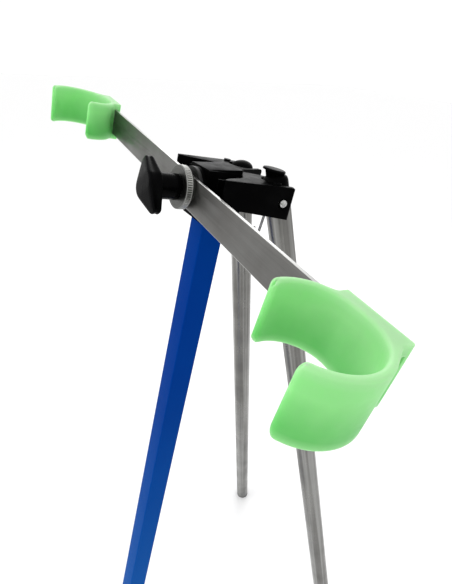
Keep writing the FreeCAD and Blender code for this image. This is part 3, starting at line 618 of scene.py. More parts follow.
@dataclass
class Frames:
    """Frames of the sub-assemblies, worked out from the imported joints."""

    joints: list[dict[str, Any]]
    pivot_rise: float = 3.2
    bar_drop: float = 1.9
    bar_roll: float = 5.65
    knob_turn: float = 130.0
    leg_spread: float = 22.1

    def __post_init__(self) -> None:
        """Work out every frame."""
        by_name = {joint["name"]: joint for joint in self.joints}
        tilt = by_name["bar_tilt"]
        pivot = frame_at(Vector(tilt["pos_m"]), Vector((1.0, 0.0, 0.0)), -Vector(tilt["axis"]))
        self.head = pivot @ moved(z=-self.pivot_rise)
        self.bar = pivot @ turned(self.bar_roll, "Y") @ moved(z=-self.bar_drop)
        self.axle = pivot @ turned(90.0, "X")
        self.knob = self.axle @ turned(self.knob_turn, "Z")
        self.pins = {}
        self.legs = {}
        up = self.head.to_3x3().col[2]
        for side in Side:
            joint = by_name[f"{side.name.lower()}_leg_fold"]
            along = -Vector(joint["axis"])
            pin = frame_at(Vector(joint["pos_m"]), along, up.cross(along))
            self.pins[side] = pin
            self.legs[side] = pin @ turned(self.leg_spread, "X")
        swing = by_name["hook_swing"]
        self.hook = self.pins[Side.RIGHT].copy()
        self.hook.translation = Vector(swing["pos_m"])


# Mesh making

def arc(centre: Sequence[float], radius: float, start: float, end: float, step: float = 3.0) -> Plan:
    """Points along an arc.

    Args:
        centre: the arc's centre.
        radius: its radius.
        start: the angle that it starts at, in degrees.
        end: the angle that it ends at, in degrees.
        step: the angle between points, in degrees.

    Returns:
        The points, both ends among them.
    """
    count = max(2, math.ceil(abs(end - start) / step))
    angles = (math.radians(start + (end - start) * i / count) for i in range(count + 1))
    return [Vector((centre[0] + radius * math.cos(a), centre[1] + radius * math.sin(a))) for a in angles]


class Outline:
    """Closed plan line of straight runs and arcs, evenly sampled, with eased corners."""

    def __init__(self) -> None:
        """Start with no points."""
        self.points: Plan = []
        self.eases: dict[int, float] = {}

    def corner(self, x: float, y: float, ease: float = 0.0) -> "Outline":
        """Add a corner that is eased over that length on each side.

        Args:
            x: the corner's X.
            y: the corner's Y.
            ease: the length that is eased.

        Returns:
            The outline.
        """
        if ease:
            self.eases[len(self.points)] = ease
        self.points.append(Vector((x, y)))
        return self

    def curve(self, points: Plan, ease: float = 0.0) -> "Outline":
        """Add the points of an arc, easing its last one.

        Args:
            points: the arc's points.
            ease: the length that is eased.

        Returns:
            The outline.
        """
        self.points.extend(points)
        if ease:
            self.eases[len(self.points) - 1] = ease
        return self

    def sampled(self, spacing: float) -> Plan:
        """Points at an even spacing with the corners eased.

        Args:
            spacing: the distance between points.

        Returns:
            The points of the closed line.
        """
        closed = [*self.points, self.points[0]]
        marks = [0.0]
        for first, second in pairwise(closed):
            marks.append(marks[-1] + (second - first).length)
        total = marks[-1]

        def at(distance: float) -> Vector:
            """Point at a distance along the line.

            Args:
                distance: how far the point is along the line.

            Returns:
                The point.
            """
            distance %= total
            index = max(i for i in range(len(closed) - 1) if marks[i] <= distance)
            run = marks[index + 1] - marks[index]
            return closed[index].lerp(closed[index + 1], (distance - marks[index]) / run if run else 0.0)

        count = round(total / spacing)
        found = []
        for number in range(count):
            distance = total * number / count
            point = at(distance)
            for index, ease in self.eases.items():
                gap = (distance - marks[index] + total / 2) % total - total / 2
                if abs(gap) < ease:
                    share = (gap + ease) / (2 * ease)
                    first, middle, last = at(marks[index] - ease), at(marks[index]), at(marks[index] + ease)
                    point = first.lerp(middle, share).lerp(middle.lerp(last, share), share)
            found.append(point)
        return found


def inward(plan: Plan) -> Plan:
    """Unit directions into a counter-clockwise closed line at each of its points.

    Args:
        plan: the closed line's points.

    Returns:
        The directions, each of length 1.
    """
    count = len(plan)
    found = []
    for index in range(count):
        run = (plan[(index + 1) % count] - plan[index - 1]).normalized()
        found.append(Vector((-run.y, run.x)))
    return found


def skin(rings: Sequence[Ring], capped: bool = True) -> bmesh.types.BMesh:
    """Closed mesh through rings of equal length, capped at both ends or joined round.

    Args:
        rings: the rings, counter-clockwise as seen from where they go.
        capped: whether the first and last ring are closed with a face, or joined to each other.

    Returns:
        The mesh.
    """
    bm = bmesh.new()
    loops = [[bm.verts.new(point) for point in ring] for ring in rings]
    pairs = list(pairwise(loops))
    if not capped:
        pairs.append((loops[-1], loops[0]))
    count = len(loops[0])
    for low, high in pairs:
        for index in range(count):
            after = (index + 1) % count
            bm.faces.new((low[index], low[after], high[after], high[index]))
    if capped:
        bm.faces.new(list(reversed(loops[0])))
        bm.faces.new(loops[-1])
    return bm


def lathe(profile: Profile, segments: int = 96, closed: bool = False) -> bmesh.types.BMesh:
    """Turn a profile about the Z axis.

    Args:
        profile: radius and height of each point, from low to high, or round a closed section.
        segments: the number of faces round the axis.
        closed: whether the profile is a closed section, as a ring's is.

    Returns:
        The mesh.
    """
    bm = bmesh.new()
    rows = []
    for radius, height in profile:
        if radius < ON_AXIS:
            rows.append([bm.verts.new((0.0, 0.0, height))])
            continue
        angles = (math.tau * index / segments for index in range(segments))
        rows.append([bm.verts.new((radius * math.cos(a), radius * math.sin(a), height)) for a in angles])
    pairs = list(pairwise(rows))
    if closed:
        pairs.append((rows[-1], rows[0]))
    for low, high in pairs:
        for index in range(segments):
            after = (index + 1) % segments
            corners = [row[spot % len(row)] for row, spot in
                       ((low, index), (low, after), (high, after), (high, index))]
            bm.faces.new(list(dict.fromkeys(corners)))
    return bm


def softened_profile(
    profile: Profile, ease: float, closed: bool = False, steps: int = 4, least_run: float = 2.01
) -> list[Span]:
    """Profile with each inner corner rounded over a length.

    Args:
        profile: radius and height of each corner.
        ease: the length taken off on each side of a corner, at most half of the shorter run.
        closed: whether the profile is a closed section.
        steps: the number of faces round each corner.
        least_run: how many of those lengths the shortest run beside a corner has to hold.

    Returns:
        The corners with their rounding.
    """
    points = [Vector(point) for point in profile]
    count = len(points)
    found: list[Span] = []
    for index, point in enumerate(points):
        if not closed and index in (0, count - 1):
            found.append(tuple(point))
            continue
        before, after = points[index - 1], points[(index + 1) % count]
        reach = min(ease, (before - point).length / least_run, (after - point).length / least_run)
        first = point + (before - point).normalized() * reach
        last = point + (after - point).normalized() * reach
        for step in range(steps + 1):
            share = step / steps
            spot = first.lerp(point, share).lerp(point.lerp(last, share), share)
            found.append(tuple(spot))
    return found


def to_object(bm: bmesh.types.BMesh, name: str) -> bpy.types.Object:
    """Put a mesh in a linked object and free it.

    Args:
        bm: the mesh, which is freed.
        name: the object's name.

    Returns:
        The object.
    """
    mesh = bpy.data.meshes.new(name)
    bmesh.ops.recalc_face_normals(bm, faces=bm.faces)
    bm.to_mesh(mesh)
    bm.free()
    item = bpy.data.objects.new(name, mesh)
    bpy.context.scene.collection.objects.link(item)
    return item


def discard(item: bpy.types.Object) -> None:
    """Remove a helper object."""
    bpy.data.objects.remove(item, do_unlink=True)


def settled(item: bpy.types.Object) -> bpy.types.Object:
    """Turn an object's modifiers into its plain mesh.

    Args:
        item: the object.

    Returns:
        The object.
    """
    graph = bpy.context.evaluated_depsgraph_get()
    mesh = bpy.data.meshes.new_from_object(
        item.evaluated_get(graph), preserve_all_data_layers=True, depsgraph=graph
    )
    item.modifiers.clear()
    item.data = mesh
    return item


def combined(
    item: bpy.types.Object, others: Sequence[bpy.types.Object], operation: str
) -> bpy.types.Object:
    """Work other solids into an object and remove them.

    Args:
        item: the object that is kept.
        others: the solids that are cut out of it or united with it.
        operation: DIFFERENCE or UNION.

    Returns:
        The object.
    """
    for other in others:
        step = item.modifiers.new(operation.lower(), "BOOLEAN")
        step.operation = operation
        step.solver = "EXACT"
        step.object = other
    settled(item)
    for other in others:
        discard(other)
    return item


def carved(item: bpy.types.Object, tools: Sequence[bpy.types.Object]) -> bpy.types.Object:
    """Take tools out of an object and remove them."""
    return combined(item, tools, "DIFFERENCE")


def joined(items: Sequence[bpy.types.Object]) -> bpy.types.Object:
    """Unite solids into the first of them and remove the rest."""
    return combined(items[0], items[1:], "UNION")


def block(x: Span, y: Span, z: Span) -> bpy.types.Object:
    """Helper block between limits on each axis."""
    corners = [(x[0], y[0]), (x[1], y[0]), (x[1], y[1]), (x[0], y[1])]
    return to_object(skin([[Vector((*corner, height)) for corner in corners] for height in z]), "block")


def mark_edges(mesh: bpy.types.Mesh, broad: float = 1.5, low: float = 9.0, high: float = 26.0) -> None:
    """Write how sharply the mesh turns outwards at each vertex, 0 beside broad faces.

    Args:
        mesh: the mesh, in millimetres.
        broad: area in square millimetres past which a face counts as broad.
        low: turn in degrees where the mark starts.
        high: turn in degrees where it is full.
    """
    bm = bmesh.new()
    bm.from_mesh(mesh)
    marks = []
    for vert in bm.verts:
        if any(face.calc_area() > broad for face in vert.link_faces):
            marks.append(0.0)
            continue
        turns = (math.degrees(edge.calc_face_angle_signed(0.0)) for edge in vert.link_edges)
        marks.append(min(1.0, max(0.0, (max(turns, default=0.0) - low) / (high - low))))
    bm.free()
    layer = mesh.attributes.get(EDGE) or mesh.attributes.new(EDGE, "FLOAT", "POINT")
    layer.data.foreach_set("value", marks)


def show(
    item: bpy.types.Object,
    name: str,
    place: Matrix,
    finish: Finish,
    nodes: Sequence[str],
    body: str | None = None,
    crease: float = 32.0,
) -> bpy.types.Object:
    """Lay a finished millimetre mesh into the row frame and put it on its body.

    Args:
        item: the object that holds the mesh.
        name: the piece's name.
        place: the frame that the mesh is drawn in.
        finish: the piece's material.
        nodes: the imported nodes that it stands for.
        body: the body that it rides on, the first node's own if left out.
        crease: turn in degrees past which an edge is shaded sharp.

    Returns:
        The piece.
    """
    mesh = item.data
    if EDGE not in mesh.attributes:
        mark_edges(mesh)
    mesh.transform(place @ Matrix.Scale(MM, 4))
    mesh.shade_smooth()
    mesh.set_sharp_from_angle(angle=math.radians(crease))
    mesh.materials.clear()
    mesh.materials.append(finish.build(name, place))
    item.name = name
    mesh.name = name
    if nodes:
        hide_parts(*nodes)
        body = body or frame["nodes"][nodes[0]]["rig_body"]
    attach(item, body)
    LOG.info("%s: %d faces", name, len(mesh.polygons))
    return item


def from_node(
    node: str, place: Matrix, rounding: float, steps: int = 3, sharp: float = 35.0
) -> bpy.types.Object:
    """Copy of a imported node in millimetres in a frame, merged, with its edges rounded.

    Args:
        node: the node's name.
        place: the frame that the copy is drawn in.
        rounding: width of the rounding in millimetres.
        steps: the number of faces round each edge.
        sharp: turn in degrees past which an edge is rounded.

    Returns:
        The copy.
    """
    bm = bmesh.new()
    bm.from_mesh(frame["nodes"][node].data)
    bm.transform(Matrix.Scale(1 / MM, 4) @ place.inverted())
    bmesh.ops.remove_doubles(bm, verts=bm.verts, dist=MERGE_GAP)
    bmesh.ops.dissolve_limit(bm, angle_limit=math.radians(FLAT_TURN), verts=bm.verts, edges=bm.edges)
    item = to_object(bm, node)
    soft = item.modifiers.new("rounding", "BEVEL")
    soft.width = rounding
    soft.segments = steps
    soft.limit_method = "ANGLE"
    soft.angle_limit = math.radians(sharp)
    return settled(item)


def dress_node(node: str, finish: Finish, place: Matrix) -> None:
    """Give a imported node, kept as it is, its material.

    Args:
        node: the node's name.
        finish: its finish.
        place: the frame that the finish lies in.
    """
    mesh = frame["nodes"][node].data
    mesh.materials.clear()
    mesh.materials.append(finish.build(node, place))


# Geometry nodes

class TreeDesk:
    """A geometry node tree, with short calls to add and join its nodes."""

    def __init__(self, name: str, inputs: dict[str, str]) -> None:
        """Start a tree with its inputs and a geometry output.

        Args:
            name: the tree's name.
            inputs: the kind of each input by its name.
        """
        self.tree = bpy.data.node_groups.new(name, "GeometryNodeTree")
        face = self.tree.interface
        for label, kind in inputs.items():
            face.new_socket(label, in_out="INPUT", socket_type=f"NodeSocket{kind}")
        face.new_socket("Geometry", in_out="OUTPUT", socket_type="NodeSocketGeometry")
        self.start = self.tree.nodes.new("NodeGroupInput").outputs
        self.end = self.tree.nodes.new("NodeGroupOutput").inputs

    def add(self, kind: str, inputs: dict[str, Any], **settings: Any) -> bpy.types.NodeOutputs:
        """Add a node.

        Args:
            kind: the node's full type name.
            inputs: sockets or values for the node's inputs, by name.
            settings: the node's own properties.

        Returns:
            The node's outputs.
        """
        node = self.tree.nodes.new(kind)
        for key, value in settings.items():
            setattr(node, key, value)
        for key, value in inputs.items():
            if isinstance(value, bpy.types.NodeSocket):
                self.tree.links.new(value, node.inputs[key])
            else:
                node.inputs[key].default_value = value
        return node.outputs

    def ended(self, geometry: bpy.types.NodeSocket) -> bpy.types.NodeTree:
        """Realize the instances, set the input Finish as their material and end the tree.

        Args:
            geometry: the tree's geometry with its instances.

        Returns:
            The tree.
        """
        real = self.add("GeometryNodeRealizeInstances", {"Geometry": geometry})["Geometry"]
        paint = self.add("GeometryNodeSetMaterial", {"Geometry": real, "Material": self.start["Finish"]})
        self.tree.links.new(paint["Geometry"], self.end["Geometry"])
        return self.tree


def instance_tree(name: str) -> bpy.types.NodeTree:
    """Geometry nodes that set one object on every point, turned by an input.

    Args:
        name: the tree's name.

    Returns:
        The tree, with inputs Points, Piece, Turn and Finish.
    """
    kinds = {"Points": "Geometry", "Piece": "Object", "Turn": "Rotation", "Finish": "Material"}
    desk = TreeDesk(name, kinds)
    piece = desk.add("GeometryNodeObjectInfo", {"Object": desk.start["Piece"]})["Geometry"]
    spread = desk.add("GeometryNodeInstanceOnPoints", {
        "Points": desk.start["Points"],
        "Instance": piece,
        "Rotation": desk.start["Turn"],
    })
    return desk.ended(spread["Instances"])


def run_tree(item: bpy.types.Object, tree: bpy.types.NodeTree, values: dict[str, Any]) -> bpy.types.Object:
    """Run a geometry node tree on an object and keep its result as a plain mesh.

    Args:
        item: the object that the tree works on.
        tree: the tree.
        values: the tree's inputs by name.

    Returns:
        The object with the result.
    """
    modifier = item.modifiers.new(tree.name, "NODES")
    modifier.node_group = tree
    for socket in tree.interface.items_tree:
        if socket.name in values:
            modifier[socket.identifier] = values[socket.name]
    return settled(item)


def blank_finish() -> bpy.types.Material:
    """Material that a tree sets until the piece gets its own."""
    return bpy.data.materials.get("blank") or bpy.data.materials.new("blank")


def place_instances(
    points: bpy.types.Object, tree: bpy.types.NodeTree, piece: bpy.types.Object, turn: Euler
) -> bpy.types.Object:
    """Set a piece on each vertex of an object."""
    return run_tree(points, tree, {"Piece": piece, "Turn": turn, "Finish": blank_finish()})


def knurl_tree() -> bpy.types.NodeTree:
    """Geometry nodes for straight ribs round a rim, along the Z axis.

    Returns:
        The tree, with inputs Radius, Count, Rib Width, Rib Length, Rib Sides, Lift and Finish.
    """
    lengths = dict.fromkeys(("Radius", "Rib Width", "Rib Length", "Lift"), "Float")
    desk = TreeDesk("knurl_ribs", {**lengths, "Count": "Int", "Rib Sides": "Int", "Finish": "Material"})
    start = desk.start
    circle = desk.add("GeometryNodeMeshCircle", {"Radius": start["Radius"], "Vertices": start["Count"]})
    rib = desk.add("GeometryNodeMeshCylinder", {
        "Radius": start["Rib Width"],
        "Depth": start["Rib Length"],
        "Vertices": start["Rib Sides"],
    })
    outward = desk.add("GeometryNodeInputPosition", {})["Position"]
    aim = desk.add("FunctionNodeAlignRotationToVector", {"Vector": outward}, axis="X", pivot_axis="Z")
    spread = desk.add("GeometryNodeInstanceOnPoints", {
        "Points": circle["Mesh"],
        "Instance": rib["Mesh"],
        "Rotation": aim["Rotation"],
    })
    lift = desk.add("ShaderNodeCombineXYZ", {"Z": start["Lift"]})["Vector"]
    shift = desk.add("GeometryNodeTransform", {"Geometry": spread["Instances"], "Translation": lift})
    return desk.ended(shift["Geometry"])


# Sub-assemblies

@dataclass
class Crossbar:
    """The flat bar and its screws."""

    length: float = 500.0
    offset: float = 13.7
    edge_round: float = 0.45
    screw_inset: float = 20.0
    screw_head_radius: float = 4.0
    screw_head_height: float = 2.6
    screw_seat: float = 5.5
    screw_tip: float = -1.4
    screw_radius: float = 2.0
    screw_crown_share: float = 0.92
    screw_crown_drop: float = 0.9
    screw_flat_share: float = 0.6
    screw_ease: float = 0.4
    recess_radius: float = 1.7
    recess_half: float = 0.35
    recess_depth: float = 1.2

    @property
    def ends(self) -> dict[Side, float]:
        """Place of each end along the bar, from the bolt hole.

        Returns:
            The places by side.
        """
        return {
            Side.RIGHT: self.length / 2 - self.offset,
            Side.LEFT: -self.length / 2 - self.offset,
        }

    def end_frame(self, frames: Frames, side: Side) -> Matrix:
        """Frame of a bar end: X runs out of the bar."""
        flip = turned(0.0 if side is Side.RIGHT else 180.0, "Y")
        return frames.bar @ moved(x=self.ends[side]) @ flip

    def build(self, frames: Frames) -> None:
        """Make the bar and the rest screws.

        Args:
            frames: the sub-assemblies' frames.
        """
        bar = from_node("crossbar", frames.bar, self.edge_round)
        show(bar, "crossbar_flat", frames.bar, BAR_METAL, ["crossbar"])
        self.build_screws(frames)

    def screw_mesh(self) -> bpy.types.Object:
        """One pan-head screw along Z with a cross recess.

        Returns:
            The object.
        """
        top = self.screw_seat + self.screw_head_height
        head = softened_profile(
            [
                (0.0, self.screw_tip),
                (self.screw_radius, self.screw_tip),
                (self.screw_radius, self.screw_seat),
                (self.screw_head_radius, self.screw_seat),
                (self.screw_head_radius * self.screw_crown_share, top - self.screw_crown_drop),
                (self.screw_head_radius * self.screw_flat_share, top),
                (0.0, top),
            ],
            self.screw_ease,
        )
        screw = to_object(lathe(head, 40), "rest_screw")
        long, narrow = (-self.recess_radius, self.recess_radius), (-self.recess_half, self.recess_half)
        depth = (top - self.recess_depth, top + CUT_CLEAR)
        return carved(screw, [block(long, narrow, depth), block(narrow, long, depth)])

    def build_screws(self, frames: Frames) -> None:
        """Set a screw at each rest with geometry nodes.

        Args:
            frames: the sub-assemblies' frames.
        """
        screw = self.screw_mesh()
        bm = bmesh.new()
        for side in Side:
            spot = self.end_frame(frames, side) @ moved(x=-self.screw_inset)
            spot = frames.bar.inverted() @ spot
            bm.verts.new(spot.translation / MM)
        points = to_object(bm, "rest_screw_spots")
        tree = instance_tree("screw_at_points")
        placed = place_instances(points, tree, screw, Euler((math.radians(-90.0), 0.0, 0.0)))
        discard(screw)
        show(placed, "rest_screw_pair", frames.bar, STEEL, ["rest_screws"])


@dataclass
class RodRest:
    """A moulded rest: a sleeve on the bar end and two curved arms."""

    height: float = 44.4
    front: float = 5.0
    back: float = 5.5
    wall: float = 5.0
    grip_length: float = 39.0
    end_length: float = 10.0
    outer_radius: float = 32.2
    outer_setback: float = 14.0
    outer_sweep: float = 145.0
    inner_radius: float = 27.5
    inner_setback: float = 24.0
    inner_sweep: float = 98.0
    rim_round: float = 2.3
    sleeve_round: float = 1.1
    tip_round: float = 4.5
    front_ease: float = 1.2
    back_ease: float = 1.6
    grip_ease: float = 3.0
    root_ease: float = 3.0
    tip_step: float = 12.0
    blend_start: float = 1.0
    blend_length: float = 4.0
    blend_reach: int = 5
    rim_steps: int = 7
    wall_rows: int = 9
    rim_fade: float = 9.0
    spacing: float = 0.9
    slot_half_thick: float = 1.6
    slot_half_width: float = 15.1
    slot_overrun: float = 3.0
    hole_radius: float = 2.1
    hole_depth: float = 12.0
    hole_inset: float = 20.0

    def plan(self) -> Plan:
        """Plan line of the rest, counter-clockwise.

        Returns:
            The points.
        """
        outer = (-self.outer_setback, -self.front - self.outer_radius)
        inner = (-self.inner_setback, -self.front - self.inner_radius)
        outside, inside = self.outer_radius + self.wall, self.inner_radius + self.wall
        outer_tip = 90.0 - self.outer_sweep
        inner_tip = 90.0 + self.inner_sweep
        grip_cut = math.degrees(math.acos((inner[0] + self.grip_length) / inside))
        grip_angle = 180.0 - grip_cut
        corner = (self.end_length - outer[0], -self.front - outer[1])
        root_angle = math.degrees(math.atan2(corner[1], corner[0]) - math.acos(outside / math.hypot(*corner)))
        line = Outline()
        line.corner(self.end_length, -self.front, self.front_ease)
        line.corner(self.end_length, self.back, self.back_ease)
        line.corner(-self.grip_length, self.back, self.back_ease)
        line.eases[len(line.points)] = self.grip_ease
        line.curve(arc(inner, inside, grip_angle, inner_tip))
        line.curve(self.tip(inner, self.inner_radius, inner_tip, 180.0))
        line.curve(arc(inner, self.inner_radius, inner_tip, 90.0), self.root_ease)
        line.curve(arc(outer, self.outer_radius, 90.0, outer_tip))
        line.curve(self.tip(outer, self.outer_radius, outer_tip, -180.0))
        line.curve(arc(outer, outside, outer_tip, root_angle))
        return line.sampled(self.spacing)

    def tip(self, centre: Sequence[float], radius: float, angle: float, turn: float) -> Plan:
        """Half-round end of an arm, from one wall to the other, without its ends.

        Args:
            centre: the centre of the arm's curve.
            radius: the inner radius of the arm.
            angle: the angle that the arm ends at, in degrees.
            turn: which way the end turns, by its sign.

        Returns:
            The points.
        """
        middle = radius + self.wall / 2
        reach = math.radians(angle)
        spot = (centre[0] + middle * math.cos(reach), centre[1] + middle * math.sin(reach))
        start = angle if turn > 0 else angle - 180.0
        return arc(spot, self.wall / 2, start, start + 180.0, self.tip_step)[1:-1]

    def rim_at(self, point: Vector) -> float:
        """Radius of the rim's rounding at a point of the plan: small on the sleeve, full on the arms.

        Args:
            point: a point of the plan.

        Returns:
            The length in millimetres.
        """
        depth = min(1.0, max(0.0, (point.y + self.front + self.blend_start) / self.blend_length))
        within = -self.grip_length - self.blend_start < point.x
        share = depth if within else 0.0
        return self.rim_round + (self.sleeve_round - self.rim_round) * share

    def drop_at(self, point: Vector) -> float:
        """How far the rims draw in at a point of the plan, to round the arms' ends in elevation.

        Args:
            point: a point of the plan.

        Returns:
            The length in millimetres.
        """
        drop = 0.0
        for setback, radius, angle, way in (
            (self.outer_setback, self.outer_radius, 90.0 - self.outer_sweep, -1.0),
            (self.inner_setback, self.inner_radius, 90.0 + self.inner_sweep, 1.0),
        ):
            reach, middle = math.radians(angle), radius + self.wall / 2
            centre = Vector((-setback, -self.front - radius))
            spot = centre + middle * Vector((math.cos(reach), math.sin(reach)))
            heading = Vector((-math.sin(reach), math.cos(reach))) * way
            inside = self.wall / 2 - (point - spot).dot(heading)
            if (point - spot).length < self.tip_round + self.wall and inside < self.tip_round:
                flat = max(0.0, self.tip_round ** 2 - (self.tip_round - inside) ** 2)
                drop = max(drop, self.tip_round - math.sqrt(flat))
        return drop

    def mesh(self) -> bpy.types.Object:
        """Sweep the plan up through its rounded rims and cut the bar's slot.

        Returns:
            The object.
        """
        plan = self.plan()
        into = inward(plan)
        rims = [self.rim_at(point) for point in plan]
        count = len(plan)
        near = range(-self.blend_reach, self.blend_reach + 1)
        rims = [sum(rims[(i + k) % count] for k in near) / len(near) for i in range(count)]
        halves = [self.height / 2 - self.drop_at(point) for point in plan]
        rings = []
        for step in range(self.rim_steps + 1):
            angle = math.pi / 2 * step / self.rim_steps
            rings.append([
                Vector((*(p + n * (r * (1 - math.sin(angle)))), -half + r * (1 - math.cos(angle))))
                for p, n, r, half in zip(plan, into, rims, halves)
            ])
        upper = [[Vector((p.x, p.y, -p.z)) for p in ring] for ring in reversed(rings)]
        lowest = rings[-1]
        for row in range(1, self.wall_rows):
            rings.append([a.lerp(b, row / self.wall_rows) for a, b in zip(lowest, upper[0])])
        rings += upper
        rest = to_object(skin(rings), "rod_rest")
        slot = block(
            (-self.grip_length - self.slot_overrun, self.end_length + self.slot_overrun),
            (-self.slot_half_thick, self.slot_half_thick),
            (-self.slot_half_width, self.slot_half_width),
        )
        radius, depth = self.hole_radius, self.hole_depth
        hole = to_object(lathe([(0.0, 0.0), (radius, 0.0), (radius, depth), (0.0, depth)], 32), "hole")
        hole.data.transform(Matrix.Translation((-self.hole_inset, 0.0, 0.0)) @ turned(-90.0, "X"))
        return carved(rest, [slot, hole])

    def mark_rims(self, mesh: bpy.types.Mesh) -> None:
        """Write the edge attribute, which carries the rests' painted rim glow: full at the rims and tips,
        fading into the walls.

        Args:
            mesh: the rest's mesh.
        """
        half = self.height / 2
        marks = [max(0.0, 1.0 - (half - abs(vert.co.z)) / self.rim_fade) ** 2 for vert in mesh.vertices]
        mesh.attributes.new(EDGE, "FLOAT", "POINT").data.foreach_set("value", marks)

    def build(self, frames: Frames, bar: Crossbar) -> None:
        """Make both rests.

        Args:
            frames: the sub-assemblies' frames.
            bar: the crossbar, which gives the ends' frames.
        """
        for side in Side:
            rest = self.mesh()
            self.mark_rims(rest.data)
            name = side.name.lower()
            place = bar.end_frame(frames, side)
            show(rest, f"rod_rest_shell_{name}", place, GREENS[side], [f"rod_rest_{name}"])


@dataclass
class Clamp:
    """Friction washer, clamp disc and wing knob on the bolt's axis."""

    bar_half: float = 1.5
    bore: float = 4.1
    disc_radius: float = 20.0
    disc_thick: float = 6.6
    step_radius: float = 16.0
    step_thick: float = 2.9
    disc_ease: float = 0.22
    edge_ring: float = 1.1
    ring_inset: float = 0.1
    back_bevel: float = 0.6
    face_bevel: float = 0.7
    bevel_height: float = 0.5
    land_width: float = 2.6
    land_foot: float = 3.0
    face_sink: float = 0.25
    rib_bed: float = 0.55
    bed_slope: float = 0.3
    rib_clear: float = 0.02
    rib_count: int = 60
    rib_width: float = 0.6
    rib_sides: int = 8
    washer_thick: float = 3.5
    washer_ease: float = 0.5
    hub_radius: float = 11.8
    hub_length: float = 20.0
    hub_chamfer: float = 1.2
    hub_inside: float = 4.0
    hub_ease: float = 0.6
    wing_thick: float = 13.0
    tip_thick: float = 8.0
    wing_length: float = 53.0
    wing_end_width: float = 7.6
    wing_mid_width: float = 33.0
    wing_mid_length: float = 6.0
    crown_length: float = 14.0
    crown_ease: float = 2.0
    crown_shares: tuple[float, ...] = (0.94, 0.86, 0.74, 0.6, 0.45, 0.3, 0.15, 0.04)
    wing_end_ease: float = 3.0
    wing_mid_ease: float = 2.8
    wing_spacing: float = 0.8
    wing_round: float = 1.8
    round_steps: int = 6
    wall_rows: int = 12
    dish: float = 0.5
    bore_radius: float = 6.05
    bore_end: float = 32.0
    relief_end: float = 35.9

    @property
    def disc_front(self) -> float:
        """Height of the disc's front face along the axle."""
        return self.bar_half + self.step_thick + self.disc_thick

    def build(self, frames: Frames) -> None:
        """Make the washer, the disc with its knurl, and the knob.

        Args:
            frames: the sub-assemblies' frames.
        """
        self.build_washer(frames)
        self.build_disc(frames)
        self.build_knob(frames)
        dress_node("knob_insert", BRASS, frames.knob)

    def build_washer(self, frames: Frames) -> None:
        """Make the friction washer between head and bar.

        Args:
            frames: the sub-assemblies' frames.
        """
        back = -self.bar_half - self.washer_thick
        section = [
            (self.bore, back), (self.disc_radius, back),
            (self.disc_radius, -self.bar_half), (self.bore, -self.bar_half),
        ]
        soft = softened_profile(section, self.washer_ease, closed=True)
        washer = to_object(lathe(soft, 120, closed=True), "washer")
        show(washer, "friction_pad", frames.axle, PAD_RUBBER, ["friction_washer"])

    def build_disc(self, frames: Frames) -> None:
        """Make the clamp disc and the straight ribs round its rim.

        Args:
            frames: the sub-assemblies' frames.
        """
        low, high = self.bar_half + self.step_thick, self.disc_front
        rim, ring = self.disc_radius - self.rib_bed, self.disc_radius - self.ring_inset
        slope, sunk = self.edge_ring + self.bed_slope, high - self.face_sink
        section = [
            (self.bore, self.bar_half), (self.step_radius, self.bar_half),
            (self.step_radius, low), (self.disc_radius - self.back_bevel, low),
            (ring, low + self.bevel_height), (ring, low + self.edge_ring),
            (rim, low + slope), (rim, high - slope),
            (ring, high - self.edge_ring), (ring, high - self.bevel_height),
            (self.disc_radius - self.face_bevel, high), (self.disc_radius - self.land_width, high),
            (self.disc_radius - self.land_foot, sunk), (self.bore, sunk),
        ]
        soft = softened_profile(section, self.disc_ease, closed=True, steps=3)
        disc = to_object(lathe(soft, 160, closed=True), "disc")
        show(disc, "clamp_disc_body", frames.axle, DISC_METAL, ["clamp_disc"])
        ribs = to_object(bmesh.new(), "ribs")
        run_tree(ribs, knurl_tree(), {
            "Radius": rim + self.rib_clear,
            "Count": self.rib_count,
            "Rib Width": self.rib_width,
            "Rib Sides": self.rib_sides,
            "Rib Length": high - low - 2 * self.edge_ring,
            "Lift": (high + low) / 2,
            "Finish": blank_finish(),
        })
        for vert in ribs.data.vertices:
            reach = math.hypot(vert.co.x, vert.co.y)
            limit = self.disc_radius - self.rib_clear
            if reach > limit:
                vert.co.x *= limit / reach
                vert.co.y *= limit / reach
        show(ribs, "clamp_disc_knurl", frames.axle, LIT_RIB_METAL, [], "clamp")

    def wing_plan(self) -> Plan:
        """Plan of the wing, a long rounded rhombus, counter-clockwise.

        Returns:
            The points.
        """
        half, end = self.wing_length / 2, self.wing_end_width / 2
        middle, width = self.wing_mid_length / 2, self.wing_mid_width / 2
        line = Outline()
        for way in (1, -1):
            line.corner(way * half, -way * end, self.wing_end_ease)
            line.corner(way * half, way * end, self.wing_end_ease)
            line.corner(way * middle, way * width, self.wing_mid_ease)
            line.corner(-way * middle, way * width, self.wing_mid_ease)
        return line.sampled(self.wing_spacing)

    def roof(self, x: float) -> float:
        """Height of the wing's front over its back, full in the middle and lower at the tips.

        Args:
            x: distance from the knob's axis along the wing.

        Returns:
            The length in millimetres.
        """
        past = abs(x) - self.crown_length / 2
        past = (past + math.hypot(past, self.crown_ease)) / 2
        slope = 2 * (self.wing_thick - self.tip_thick) / (self.wing_length - self.crown_length)
        return self.wing_thick - slope * past

